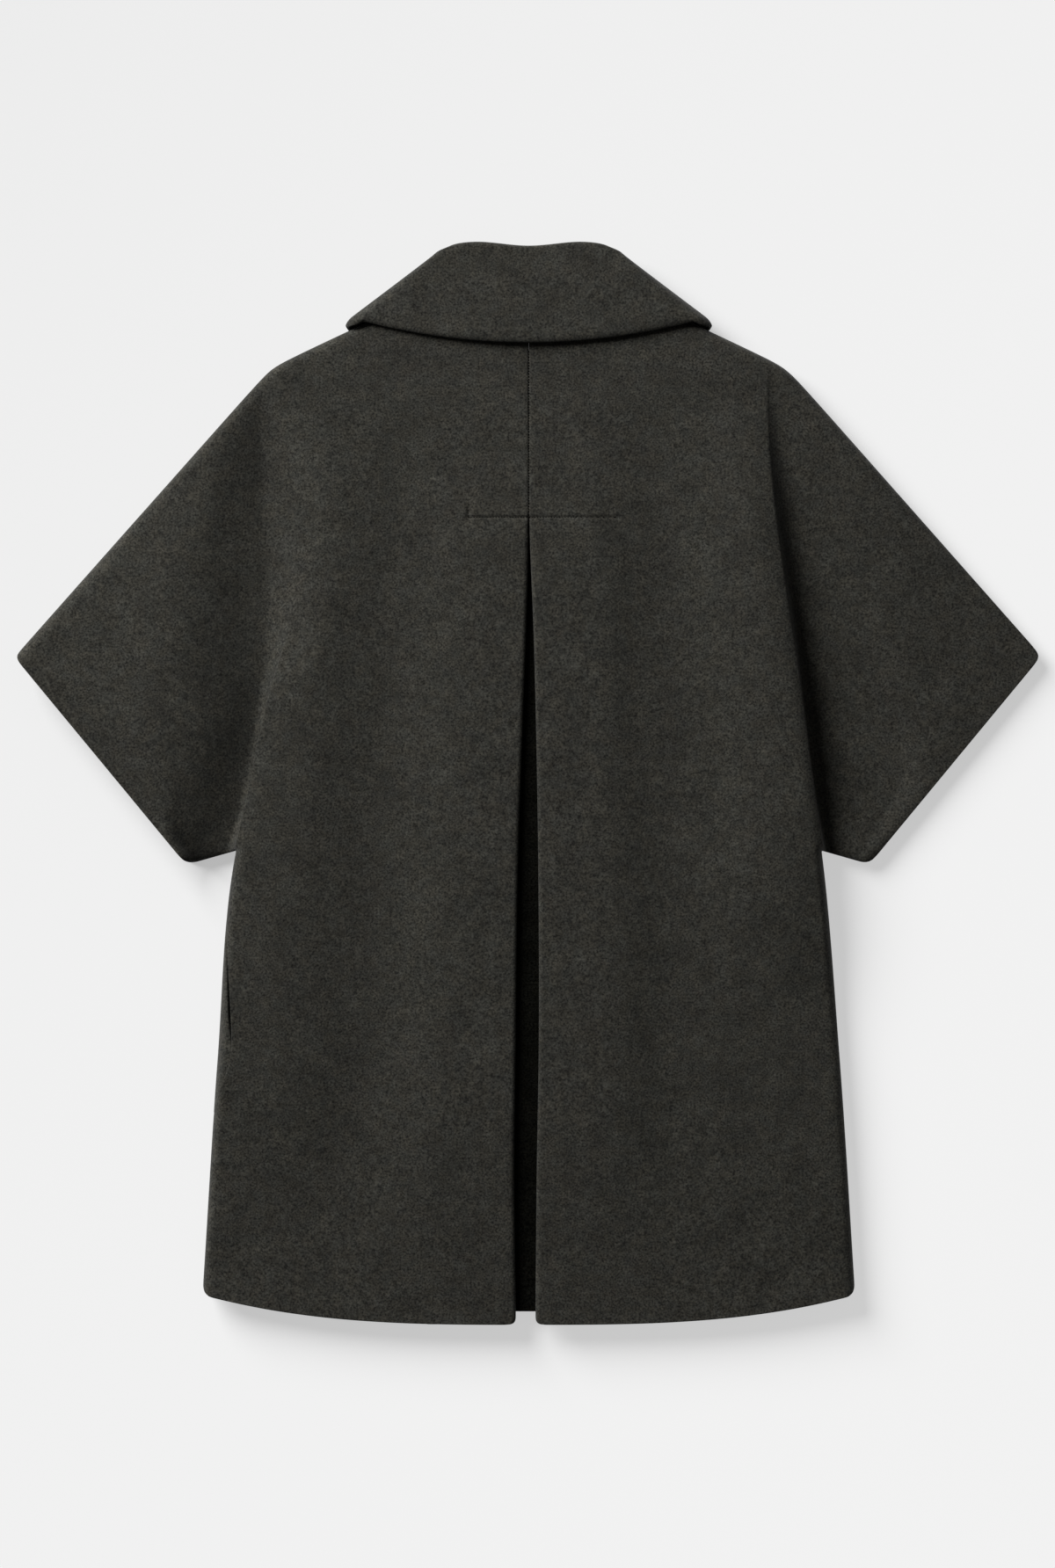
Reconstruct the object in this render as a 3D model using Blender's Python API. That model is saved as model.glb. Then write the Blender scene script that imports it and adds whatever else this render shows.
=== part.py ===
"""A short coat of thick felted wool, laid out face down.

The back is two panels, each cut in one with the back of a wide sleeve, joined by a centre-back seam that
opens into a deep inverted pleat over an underlay. The fronts lie flat under it, and a folded collar runs
round the neck. Every piece is a thin wall of cloth, and the body, the sleeves and the neck are hollow.

Metres, +Z up from the surface that the coat lies on, +Y towards the collar and the wearer's left at -X.
The origin is under the middle of the coat. A panel is worked out in its own outward x, from the coat's
centre line to the side, and then turned to its side of the coat.
"""

import math
from collections import namedtuple

import bmesh
import bpy
import numpy as np
from mathutils import Vector

# Cloth and the room between pieces
CLOTH = 0.0025
COLLAR_CLOTH = 0.0028
POCKET_CLOTH = 0.0018
SEAM_GAP = 0.0004
LAYER_GAP = 0.0010
SEAM_SNAP = 0.0005

# Outline of the coat as it lies
COAT_LENGTH = 0.862
BACK_HEM_Y = -COAT_LENGTH / 2
FRONT_HEM_Y = -0.4150
SIDE_HEM = np.array((0.2610, -0.4069))
UNDERARM = np.array((0.2342, -0.0541))
SLEEVE_TIP = np.array((0.4098, 0.1021))
SLEEVE_HEEL = np.array((0.2720, -0.0645))
NECK_HALF = 0.0780
BACK_NECK_Y = 0.3840
FRONT_NECK_Y = 0.3120
FRONT_LAP = 0.0400
FRONT_LAP_EASE = 0.0240
CORNER_REACH = 0.0085
HEM_NEAR_SIDE = SIDE_HEM - np.array((0.0200, 0.0055))

# The overarm line is a flat shoulder slope and a steep sleeve slope, blended where they meet
SHOULDER_AT, SHOULDER_SLOPE = np.array((0.1516, 0.3582)), 0.465
SLEEVE_AT, SLEEVE_SLOPE = np.array((0.2454, 0.2882)), 1.132
SHOULDER_BLEND = 0.0025

# How the edges and the sleeve lie
EDGE_ROLL = 0.0100
SLEEVE_ARCH = 0.0015
SETTLE = 1.4

# Inverted pleat
PLEAT_TOP_Y = 0.2126
UNDERLAY_HEM_Y = -0.4195
PLEAT_ROUND = CLOTH + LAYER_GAP / 2
SEAM_DIP = 0.0008

# Collar
COLLAR_LAYERS = 0.0080
COLLAR_ROLL_Y = 0.4278
COLLAR_BACK_LEVEL = 0.0221
COLLAR_FRONT_LEVEL = COLLAR_LAYERS / 2
COLLAR_MID_LEVEL = (COLLAR_BACK_LEVEL + COLLAR_FRONT_LEVEL) / 2
COLLAR_EDGE_LIFT, COLLAR_SIDE_LIFT = 0.0034, 0.0016
COLLAR_TURN, COLLAR_SIDE_TURN, COLLAR_TURN_SHARE = 0.0030, 0.0040, 0.08
COLLAR_LIP_SHARE = 0.10
COLLAR_REST = 0.0050
COLLAR_REST_Y, COLLAR_REST_EASE = 0.1300, 0.1100
COLLAR_REST_X, COLLAR_REST_FADE = 0.1550, 0.0450
COLLAR_END = 0.985

Half = namedtuple("Half", "name sign edge fold edge_drop roll_power cuff")
EdgeRow = namedtuple("EdgeRow", "y x roll dip bank lap floor sleeve")
FoldColumn = namedtuple("FoldColumn", "dip lap drop")
Level = namedtuple("Level", "y height")
SeamLevel = namedtuple("SeamLevel", "x height")
Swell = namedtuple("Swell", "left_top left_foot right_top right_foot y_top y_foot side height")
PleatRow = namedtuple("PleatRow", "y left right depth")
Turn = namedtuple("Turn", "reach fall")
PocketRow = namedtuple("PocketRow", "y gape")
CollarRing = namedtuple("CollarRing", "half_width back_y back_side_y front_y power lip")

# From the shoulder down: the edge of the fold over the sleeve, then below the underarm the side seam.
# The body rolls down to the edge over roll and on to the floor of a dip, from which the sleeve rises
# to its own level over bank. Where lap is large the roll folds back under itself.
LEFT_EDGE = (
    EdgeRow(y=0.3304, x=0.206, roll=0.040, dip=0.014, bank=0.040, lap=0.000, floor=0.0212, sleeve=0.0214),
    EdgeRow(y=0.2740, x=0.194, roll=0.032, dip=0.034, bank=0.032, lap=0.000, floor=0.0152, sleeve=0.0215),
    EdgeRow(y=0.1900, x=0.190, roll=0.034, dip=0.036, bank=0.076, lap=0.000, floor=0.0104, sleeve=0.0255),
    EdgeRow(y=0.1200, x=0.195, roll=0.034, dip=0.032, bank=0.084, lap=0.000, floor=0.0092, sleeve=0.0262),
    EdgeRow(y=0.0640, x=0.210, roll=0.027, dip=0.022, bank=0.070, lap=0.003, floor=0.0096, sleeve=0.0248),
    EdgeRow(y=-0.0060, x=0.223, roll=0.020, dip=0.018, bank=0.036, lap=0.004, floor=0.0136, sleeve=0.0216),
    EdgeRow(y=-0.0541, x=0.2342, roll=0.012, dip=0.008, bank=0.020, lap=0.000, floor=0.0112, sleeve=0.0130),
    EdgeRow(y=-0.2200, x=0.2488, roll=0.012, dip=0.008, bank=0.020, lap=0.000, floor=0.0112, sleeve=0.0130),
    EdgeRow(y=-0.4069, x=0.261, roll=0.012, dip=0.008, bank=0.020, lap=0.000, floor=0.0112, sleeve=0.0130),
)
RIGHT_EDGE = (
    EdgeRow(y=0.3397, x=0.190, roll=0.034, dip=0.014, bank=0.036, lap=0.000, floor=0.0212, sleeve=0.0214),
    EdgeRow(y=0.2880, x=0.190, roll=0.030, dip=0.026, bank=0.040, lap=0.000, floor=0.0184, sleeve=0.0195),
    EdgeRow(y=0.2250, x=0.195, roll=0.026, dip=0.034, bank=0.050, lap=0.000, floor=0.0146, sleeve=0.0168),
    EdgeRow(y=0.1550, x=0.2045, roll=0.020, dip=0.040, bank=0.064, lap=0.003, floor=0.0082, sleeve=0.0126),
    EdgeRow(y=0.0850, x=0.2155, roll=0.014, dip=0.038, bank=0.070, lap=0.008, floor=0.0068, sleeve=0.0118),
    EdgeRow(y=0.0150, x=0.2245, roll=0.013, dip=0.030, bank=0.040, lap=0.008, floor=0.0068, sleeve=0.0118),
    EdgeRow(y=-0.0541, x=0.2342, roll=0.012, dip=0.008, bank=0.020, lap=0.000, floor=0.0112, sleeve=0.0130),
    EdgeRow(y=-0.2200, x=0.2488, roll=0.012, dip=0.008, bank=0.020, lap=0.000, floor=0.0112, sleeve=0.0130),
    EdgeRow(y=-0.4069, x=0.261, roll=0.012, dip=0.008, bank=0.020, lap=0.000, floor=0.0112, sleeve=0.0130),
)

# Columns across the fold: shares of the roll before its edge, and past it of the dip, the lap and the
# rest of the drop
ROLL_COLUMNS = (0.70, 1.0)
LEFT_FOLD = (
    FoldColumn(dip=0.10, lap=0.40, drop=0.16),
    FoldColumn(dip=0.25, lap=0.95, drop=0.36),
    FoldColumn(dip=0.45, lap=1.00, drop=0.62),
    FoldColumn(dip=0.75, lap=0.45, drop=0.91),
    FoldColumn(dip=1.00, lap=0.00, drop=1.00),
)
RIGHT_FOLD = (
    FoldColumn(dip=0.10, lap=0.40, drop=0.30),
    FoldColumn(dip=0.25, lap=0.95, drop=0.60),
    FoldColumn(dip=0.45, lap=1.00, drop=0.88),
    FoldColumn(dip=0.75, lap=0.45, drop=0.98),
    FoldColumn(dip=1.00, lap=0.00, drop=1.00),
)
LEFT = Half("left", -1, LEFT_EDGE, LEFT_FOLD, edge_drop=0.44, roll_power=1.8, cuff=0.0205)
RIGHT = Half("right", 1, RIGHT_EDGE, RIGHT_FOLD, edge_drop=0.14, roll_power=3.0, cuff=0.0130)
BANK_COLUMNS = (0.30, 0.62, 1.0)

# Height of the back's face down the coat, and of the seams outward from the neck
BODY_LEVELS = (
    Level(y=0.3900, height=0.0222),
    Level(y=0.3000, height=0.0220),
    Level(y=0.1500, height=0.0205),
    Level(y=-0.0600, height=0.0202),
    Level(y=-0.2600, height=0.0204),
    Level(y=-0.4310, height=0.0215),
)
SEAM_LEVELS = (
    SeamLevel(x=0.0780, height=0.0131),
    SeamLevel(x=0.1500, height=0.0112),
    SeamLevel(x=0.2060, height=0.0094),
    SeamLevel(x=0.2610, height=0.0085),
    SeamLevel(x=0.3300, height=0.0090),
    SeamLevel(x=0.4100, height=0.0096),
)

# Soft vertical swells of the back, left to right, by the feet of their left and right sides, which lean
SWELLS = (
    Swell(left_top=-0.260, left_foot=-0.300, right_top=-0.104, right_foot=-0.152,
          y_top=0.330, y_foot=-0.390, side=0.066, height=0.0080),
    Swell(left_top=-0.108, left_foot=-0.150, right_top=0.107, right_foot=0.130,
          y_top=0.320, y_foot=-0.425, side=0.060, height=0.0070),
    Swell(left_top=0.098, left_foot=0.125, right_top=0.300, right_foot=0.300,
          y_top=0.330, y_foot=-0.190, side=0.090, height=0.0132),
)
SWELL_ENDS = 0.24

# Half widths of the pleat's mouth, left and right of the centre line, and the depth turned under
PLEAT_ROWS = (
    PleatRow(y=0.2126, left=0.0003, right=0.0003, depth=0.050),
    PleatRow(y=0.2000, left=0.0006, right=0.0006, depth=0.051),
    PleatRow(y=0.1200, left=0.0032, right=0.0025, depth=0.053),
    PleatRow(y=0.0640, left=0.0060, right=0.0039, depth=0.055),
    PleatRow(y=-0.0760, left=0.0102, right=0.0060, depth=0.059),
    PleatRow(y=-0.2160, left=0.0118, right=0.0067, depth=0.063),
    PleatRow(y=-0.4310, left=0.0125, right=0.0058, depth=0.068),
)

# Columns round the pleat's pressed edge, on its face and under it, in radii of its round
EDGE_FACE = (Turn(reach=0.0, fall=1.0), Turn(reach=0.35, fall=0.24), Turn(reach=1.2, fall=0.0))
EDGE_UNDER = (Turn(reach=0.35, fall=1.76), Turn(reach=1.2, fall=2.0))

# How far the left back's edge stands back from the side seam along the pocket mouth
POCKET_ROWS = (
    PocketRow(y=-0.1280, gape=0.0000),
    PocketRow(y=-0.1400, gape=0.0075),
    PocketRow(y=-0.1700, gape=0.0088),
    PocketRow(y=-0.2050, gape=0.0065),
    PocketRow(y=-0.2450, gape=0.0000),
)

# Rings of the collar, as plan curves: the roll and the fall's edge, which dips by lip at the sides
ROLL_RING = CollarRing(half_width=0.0742, back_y=COLLAR_ROLL_Y, back_side_y=0.4180, front_y=0.3300,
                       power=8.0, lip=0.0)
FALL_RING = CollarRing(half_width=0.1440, back_y=0.3504, back_side_y=0.3709, front_y=0.2450,
                       power=2.0, lip=0.0054)
COLLAR_DIP, COLLAR_DIP_HALF = 0.0035, 0.045
FRONT_RING_POWER = 1.7
COLLAR_SIDE_NORMAL = np.array((0.620, 0.784))
ROLL_LEAN = 0.58

# Rows and columns of the panels' grids, as shares of the stretch that they divide
ROWS_TO_PLEAT = (0.0, 0.016, 0.045, 0.12, 0.30, 0.55, 0.80, 0.95)
ROWS_TO_UNDERARM = (0.0, 0.17, 0.34, 0.50, 0.65, 0.79, 0.90, 0.97)
ROWS_TO_POCKET = (0.0, 0.15, 0.5)
ROWS_PAST_POCKET = (0.25, 0.55, 0.82, 0.94, 1.0)
NECK_COLUMNS = (0.33, 0.66, 1.0)
PANEL_COLUMNS = (0.30, 0.62)
SLEEVE_COLUMNS = (0.25, 0.50, 0.75, 1.0)
RETURN_COLUMNS = (0.35, 0.70, 1.0)
UNDERLAY_COLUMNS = (0.0, 0.18, 0.36, 0.5, 0.64, 0.82, 1.0)
UNDERLAY_ROWS = 16
SEAM_STEPS = 60
POCKET_STEPS = 7
FRONT_ROWS = (0.0, 0.004, 0.0125, 0.042, 0.073, 0.0985, 0.13, 0.165, 0.205, 0.25, 0.33, 0.42)
FRONT_ROWS_BY_UNDERARM = (-0.04, -0.012)
FRONT_ROWS_TO_HEM = (0.0, 0.04, 0.30, 0.65, 0.97, 1.0)
FRONT_COLUMNS, FRONT_BROW = (0.5, 1.0), 0.30
FRONT_SLEEVE_COLUMNS = (0.20, 0.60, 0.93, 1.0)
POCKET_ACROSS = (0.0, 0.0012, 0.0040, 0.0085, 0.0160)
COLLAR_BACK_TURNS = (0.0, 0.07, 0.14, 0.21, 0.27, 0.32, 0.36, 0.395, 0.43, 0.465)
COLLAR_FRONT_TURNS = (0.5, 0.535, 0.57, 0.605, 0.64, 0.69, 0.76, 0.84, 0.92, COLLAR_END)
FALL_SHARES = (1.0, 0.975, 0.92, 0.62, 0.30, 0.0)
ROLL_ANGLES = (45.0, 0.0, -45.0)
STAND_SHARES = (0.0, 0.5, 1.0)

# Finish
WOOL = (0.030, 0.030, 0.026, 1.0)
WOOL_DEEP = (0.020, 0.020, 0.018, 1.0)
WOOL_ROUGHNESS = 0.95
SHARP_ANGLE = 50.0


def mix(start, end, share):
    return start + (end - start) * share


def smooth(share):
    share = min(max(share, 0.0), 1.0)
    return share * share * (3.0 - 2.0 * share)


def settled(share):
    """A rise that is steepest at its foot and ends level."""
    return 1.0 - (1.0 - share) ** SETTLE


def quarter(share):
    """A quarter round: 0 at a seam, 1 where the cloth lies flat."""
    share = min(max(share, 0.0), 1.0)
    return math.sqrt(1.0 - (1.0 - share) ** 2)


def read(rows, column, at, along="y"):
    """A table's column at a place along it, on a smooth curve through its rows."""
    rows = sorted(rows, key=lambda row: getattr(row, along))
    places = np.array([getattr(row, along) for row in rows])
    values = np.array([getattr(row, column) for row in rows])
    slopes = np.gradient(values, places)
    at = min(max(at, places[0]), places[-1])
    low = min(max(int(np.searchsorted(places, at)) - 1, 0), len(places) - 2)
    width = places[low + 1] - places[low]
    t = (at - places[low]) / width
    return (
        (1 + 2 * t) * (1 - t) ** 2 * values[low]
        + t * (1 - t) ** 2 * width * slopes[low]
        + t * t * (3 - 2 * t) * values[low + 1]
        + t * t * (t - 1) * width * slopes[low + 1]
    )


def overarm_y(x):
    shoulder = SHOULDER_AT[1] - SHOULDER_SLOPE * (x - SHOULDER_AT[0])
    sleeve = SLEEVE_AT[1] - SLEEVE_SLOPE * (x - SLEEVE_AT[0])
    return (shoulder + sleeve) / 2 - math.hypot((shoulder - sleeve) / 2, SHOULDER_BLEND)


def neck_y(x, middle_y):
    """A neck line, curved from its middle up to the shoulder in straight stretches between columns."""
    shares = (0.0,) + NECK_COLUMNS
    drawn = [mix(middle_y, overarm_y(NECK_HALF), share ** 2) for share in shares]
    return float(np.interp(x / NECK_HALF, shares, drawn))


def back_neck_y(x):
    return neck_y(abs(x), BACK_NECK_Y)


def front_neck_y(x):
    return neck_y(x, FRONT_NECK_Y)


def hem_y(x, middle_y):
    """A hem rises from its middle to the side seam, slowly at first."""
    return mix(middle_y, SIDE_HEM[1], (abs(x) / SIDE_HEM[0]) ** 3)


def eased(point, behind, corner, onward):
    """A point of an edge that comes from behind, drawn in where the edge turns a soft corner to the next."""
    reach = np.linalg.norm(point - corner)
    if reach >= CORNER_REACH:
        return point
    t = 0.5 * (1.0 - reach / CORNER_REACH)
    back = (behind - corner) / np.linalg.norm(behind - corner) * CORNER_REACH
    ahead = (onward - corner) / np.linalg.norm(onward - corner) * CORNER_REACH
    return corner + (1.0 - t) ** 2 * back + t * t * ahead


def edge_point(half, v):
    y = mix(half.edge[0].y, SIDE_HEM[1], v)
    return eased(np.array((read(half.edge, "x", y), y)), UNDERARM, SIDE_HEM, HEM_NEAR_SIDE)


def underarm_share(half):
    return (half.edge[0].y - UNDERARM[1]) / (half.edge[0].y - SIDE_HEM[1])


def coons(u, v, left, right, top, bottom):
    """The plan point of a four-sided patch at u across and v down it."""
    corners = (1 - u) * ((1 - v) * top(0.0) + v * bottom(0.0)) + u * ((1 - v) * top(1.0) + v * bottom(1.0))
    return (1 - u) * left(v) + u * right(v) + (1 - v) * top(u) + v * bottom(u) - corners


def body_plan(half, u, v, inner_x, neck_line, hem_middle_y):
    """The body of a panel, from its inner edge to the fold or side seam, and from the neck to the hem."""
    top_end = edge_point(half, 0.0)
    inner_top = np.array((inner_x(BACK_NECK_Y), neck_line(inner_x(BACK_NECK_Y))))
    inner_foot = np.array((inner_x(hem_middle_y), hem_middle_y))

    def left(share):
        y = mix(inner_top[1], inner_foot[1], share)
        return np.array((inner_x(y), y))

    def top(share):
        x = mix(inner_top[0], top_end[0], share)
        return np.array((x, neck_line(x) if x < NECK_HALF else overarm_y(x)))

    def bottom(share):
        x = mix(inner_foot[0], SIDE_HEM[0], share)
        return eased(np.array((x, hem_y(x, hem_middle_y))), HEM_NEAR_SIDE, SIDE_HEM, UNDERARM)

    return coons(u, v, left, lambda share: edge_point(half, share), top, bottom)


def sleeve_plan(half, s, v):
    """The sleeve of a panel, from the fold line out to its hem, and from the overarm to the underarm."""
    start_x = half.edge[0].x

    def left(share):
        return edge_point(half, share * underarm_share(half))

    def top(share):
        x = mix(start_x, SLEEVE_TIP[0], share)
        return eased(np.array((x, overarm_y(x))), SLEEVE_AT, SLEEVE_TIP, SLEEVE_HEEL)

    def right(share):
        point = eased(mix(SLEEVE_TIP, SLEEVE_HEEL, share), SLEEVE_HEEL, SLEEVE_TIP, SLEEVE_AT)
        return eased(point, SLEEVE_TIP, SLEEVE_HEEL, UNDERARM)

    def bottom(share):
        return eased(mix(UNDERARM, SLEEVE_HEEL, share), UNDERARM, SLEEVE_HEEL, SLEEVE_TIP)

    return coons(s, v / underarm_share(half), left, right, top, bottom)


def seam_lines(half):
    """The overarm seam, and the seam from the sleeve's heel by the underarm to the hem."""
    overarm = [(x, overarm_y(x)) for x in np.linspace(NECK_HALF, SLEEVE_TIP[0], SEAM_STEPS)]
    under_v = underarm_share(half)
    side = [tuple(edge_point(half, v)) for v in np.linspace(under_v, 1.0, SEAM_STEPS)]
    return np.array(overarm), np.array([tuple(SLEEVE_HEEL)] + side)


def distance(point, line):
    starts, steps = line[:-1], np.diff(line, axis=0)
    shares = np.sum((point - starts) * steps, axis=1) / np.sum(steps * steps, axis=1)
    nearest = starts + steps * np.clip(shares, 0.0, 1.0)[:, None]
    return float(np.min(np.linalg.norm(point - nearest, axis=1)))


def seam_height(x):
    return read(SEAM_LEVELS, "height", x, along="x")


def rolled(raw, plan, lines, gap):
    """A height carried down, or up, to the nearest seam on a quarter round, and whether it is on the seam."""
    base = seam_height(plan[0]) + gap
    reach = min(distance(plan, line) for line in lines)
    if reach < SEAM_SNAP:
        return base, True
    return base + (raw - base) * quarter(reach / EDGE_ROLL), False


def body_top(x, y):
    """Height of the back's face, with its soft swells, at a place on the coat."""
    height = read(BODY_LEVELS, "height", y)
    for swell in SWELLS:
        down = (swell.y_top - y) / (swell.y_top - swell.y_foot)
        if not 0.0 < down < 1.0:
            continue
        left, right = mix(swell.left_top, swell.left_foot, down), mix(swell.right_top, swell.right_foot, down)
        across = smooth((x - left) / swell.side) * smooth((right - x) / swell.side)
        fade = smooth(down / SWELL_ENDS) * smooth((1.0 - down) / SWELL_ENDS)
        height += swell.height * fade * across
    return height


class Surface:
    """The outer face of a piece of cloth: points, quads and the points that lie on a seam."""

    def __init__(self):
        self.points = []
        self.quads = []
        self.seam = set()

    def add(self, point, on_seam=False):
        self.points.append(point)
        if on_seam:
            self.seam.add(len(self.points) - 1)
        return len(self.points) - 1

    def patch(self, rows):
        for upper, lower in zip(rows, rows[1:]):
            for k in range(len(upper) - 1):
                self.quads.append((upper[k], lower[k], lower[k + 1], upper[k + 1]))


def cloth_wall(name, surface, thickness, flipped, color, collection):
    """A closed wall of cloth: the outer face, the same face set in by the thickness, and the rim."""
    mesh = bpy.data.meshes.new(name)
    bm = bmesh.new()
    outer = [bm.verts.new(point) for point in surface.points]
    for quad in surface.quads:
        bm.faces.new([outer[k] for k in (reversed(quad) if flipped else quad)])
    bm.normal_update()
    inward = []
    for k, vert in enumerate(outer):
        normal = vert.normal.copy()
        if k in surface.seam:
            normal = Vector((normal.x, normal.y, 0.0)).normalized()
        inward.append(-normal * thickness)
    made = bmesh.ops.extrude_face_region(bm, geom=bm.faces[:])
    inner = [item for item in made["geom"] if isinstance(item, bmesh.types.BMVert)]
    # The extruded copy keeps the outer face's places, so the original points become the inner wall.
    assert len(inner) == len(outer)
    for vert, step in zip(outer, inward):
        vert.co += step
    bmesh.ops.recalc_face_normals(bm, faces=bm.faces[:])
    bm.to_mesh(mesh)
    bm.free()
    mesh.shade_smooth()
    mesh.set_sharp_from_angle(angle=math.radians(SHARP_ANGLE))
    mesh.materials.append(wool(name, color))
    piece = bpy.data.objects.new(name, mesh)
    collection.objects.link(piece)
    return piece


def wool(name, color):
    material = bpy.data.materials.new("wool_" + name)
    material.use_nodes = True
    shader = material.node_tree.nodes["Principled BSDF"]
    shader.inputs["Base Color"].default_value = color
    shader.inputs["Roughness"].default_value = WOOL_ROUGHNESS
    shader.inputs["Metallic"].default_value = 0.0
    return material


def back_rows(half):
    """Shares down a back panel, with rows at the pleat's top, the underarm and along the pocket mouth."""
    pleat = (BACK_NECK_Y - PLEAT_TOP_Y) / (BACK_NECK_Y - BACK_HEM_Y)
    under = underarm_share(half)
    edge_length = half.edge[0].y - SIDE_HEM[1]
    pocket = [(half.edge[0].y - row.y) / edge_length for row in POCKET_ROWS]
    rows = [share * pleat for share in ROWS_TO_PLEAT]
    rows += [mix(pleat, under, share) for share in ROWS_TO_UNDERARM]
    rows += [mix(under, pocket[0], share) for share in ROWS_TO_POCKET]
    rows += pocket
    rows += [mix(pocket[-1], 1.0, share) for share in ROWS_PAST_POCKET]
    return rows, len(ROWS_TO_PLEAT), len(ROWS_TO_PLEAT) + len(ROWS_TO_UNDERARM)


def pocket_gape(half, y):
    inside = POCKET_ROWS[-1].y < y < POCKET_ROWS[0].y
    return read(POCKET_ROWS, "gape", y) if half.sign < 0 and inside else 0.0


def mouth(half, y):
    """Where the pleat's edge, or above it the centre-back seam, lies from the centre line."""
    return read(PLEAT_ROWS, half.name, y) if y < PLEAT_TOP_Y else SEAM_GAP / 2


def back_panel(half, collection):
    surface = Surface()
    lines = seam_lines(half)
    rows, pleat_row, under_row = back_rows(half)

    def place(plan, raw):
        height, on_seam = rolled(raw, plan, lines, SEAM_GAP / 2)
        return surface.add((half.sign * plan[0], plan[1], height), on_seam)

    body, sleeve, turned = [], [], []
    for i, v in enumerate(rows):
        edge = edge_point(half, v)
        row = EdgeRow(*(read(half.edge, column, edge[1]) for column in EdgeRow._fields))
        gape = pocket_gape(half, edge[1])
        above_underarm = i <= under_row
        pleated = i >= pleat_row
        start = body_plan(half, 0.0, v, lambda y: mouth(half, y), back_neck_y, BACK_HEM_Y)
        width = edge[0] - start[0]

        def plan_at(u):
            return body_plan(half, u, v, lambda y: mouth(half, y), back_neck_y, BACK_HEM_Y)

        # Centre edge: a pressed fold at the pleat, a shallow groove at the seam above it
        line = []
        top = body_top(half.sign * start[0], start[1])
        sink = PLEAT_ROUND if pleated else SEAM_DIP
        for turn in EDGE_FACE:
            plan = plan_at(turn.reach * PLEAT_ROUND / width)
            line.append(place(plan, top - sink * turn.fall))
        neck_share = (NECK_HALF - start[0]) / (half.edge[0].x - SEAM_GAP / 2)
        for share in NECK_COLUMNS:
            plan = plan_at(neck_share * share)
            line.append(place(plan, body_top(half.sign * plan[0], plan[1])))
        crest_u = 1.0 - (row.roll + gape) / width
        for share in PANEL_COLUMNS:
            plan = plan_at(mix(neck_share, crest_u, share))
            line.append(place(plan, body_top(half.sign * plan[0], plan[1])))
        crest = plan_at(crest_u)
        crest_top = body_top(half.sign * crest[0], crest[1])
        line.append(place(crest, crest_top))
        drop = crest_top - row.floor if above_underarm else 0.0
        for share in ROLL_COLUMNS:
            plan = plan_at(1.0 - (row.roll * (1.0 - share) + gape) / width)
            line.append(place(plan, crest_top - drop * half.edge_drop * share ** half.roll_power))
        body.append(line)

        if above_underarm:
            out = np.linalg.norm(sleeve_plan(half, 1.0, v) - edge)
            line = [body[-1][-1]]
            for column in half.fold:
                offset = column.dip * row.dip - column.lap * max(row.lap, 0.0)
                level = crest_top - drop * mix(half.edge_drop, 1.0, column.drop)
                line.append(place(sleeve_plan(half, offset / out, v), level))
            for share in BANK_COLUMNS:
                level = mix(row.floor, row.sleeve, settled(share))
                line.append(place(sleeve_plan(half, (row.dip + share * row.bank) / out, v), level))
            bank_end = (row.dip + row.bank) / out
            for share in SLEEVE_COLUMNS:
                level = mix(row.sleeve, half.cuff, smooth(share))
                level += SLEEVE_ARCH * math.sin(math.pi * share)
                line.append(place(sleeve_plan(half, mix(bank_end, 1.0, share), v), level))
            sleeve.append(line)

        if pleated:
            depth = read(PLEAT_ROWS, "depth", start[1])
            line = [body[-1][0]]
            for turn in EDGE_UNDER:
                plan = start + np.array((turn.reach * PLEAT_ROUND, 0.0))
                line.append(place(plan, top - turn.fall * PLEAT_ROUND))
            for share in RETURN_COLUMNS:
                plan = start + np.array((mix(EDGE_UNDER[-1].reach * PLEAT_ROUND, depth, share), 0.0))
                under = body_top(half.sign * plan[0], plan[1]) - 2 * PLEAT_ROUND
                line.append(place(plan, under))
            turned.append(line[::-1])

    surface.patch(body)
    surface.patch(sleeve)
    surface.patch(turned)
    return cloth_wall("back_" + half.name, surface, CLOTH, half.sign < 0, WOOL, collection)


def pleat_underlay(collection):
    surface = Surface()
    rows = []
    for i in range(UNDERLAY_ROWS + 1):
        y = mix(PLEAT_TOP_Y, UNDERLAY_HEM_Y, i / UNDERLAY_ROWS)
        depth = read(PLEAT_ROWS, "depth", y)
        left = -read(PLEAT_ROWS, "left", y) - depth
        right = read(PLEAT_ROWS, "right", y) + depth
        line = []
        for share in UNDERLAY_COLUMNS:
            x = mix(left, right, share)
            line.append(surface.add((x, y, body_top(x, y) - 2 * PLEAT_ROUND - LAYER_GAP)))
        rows.append(line)
    surface.patch(rows)
    return cloth_wall("pleat_underlay", surface, CLOTH, False, WOOL_DEEP, collection)


def front_floor(half, x, y):
    """The fronts lie on the floor, over the collar's front half, and the left one over the right."""
    over_collar = COLLAR_REST * smooth((y - COLLAR_REST_Y) / COLLAR_REST_EASE)
    over_collar *= 1.0 - smooth((abs(x) - COLLAR_REST_X) / COLLAR_REST_FADE)
    if half.sign > 0:
        return over_collar
    return over_collar + (CLOTH + LAYER_GAP / 2) * smooth((NECK_HALF - x) / FRONT_LAP_EASE)


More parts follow.
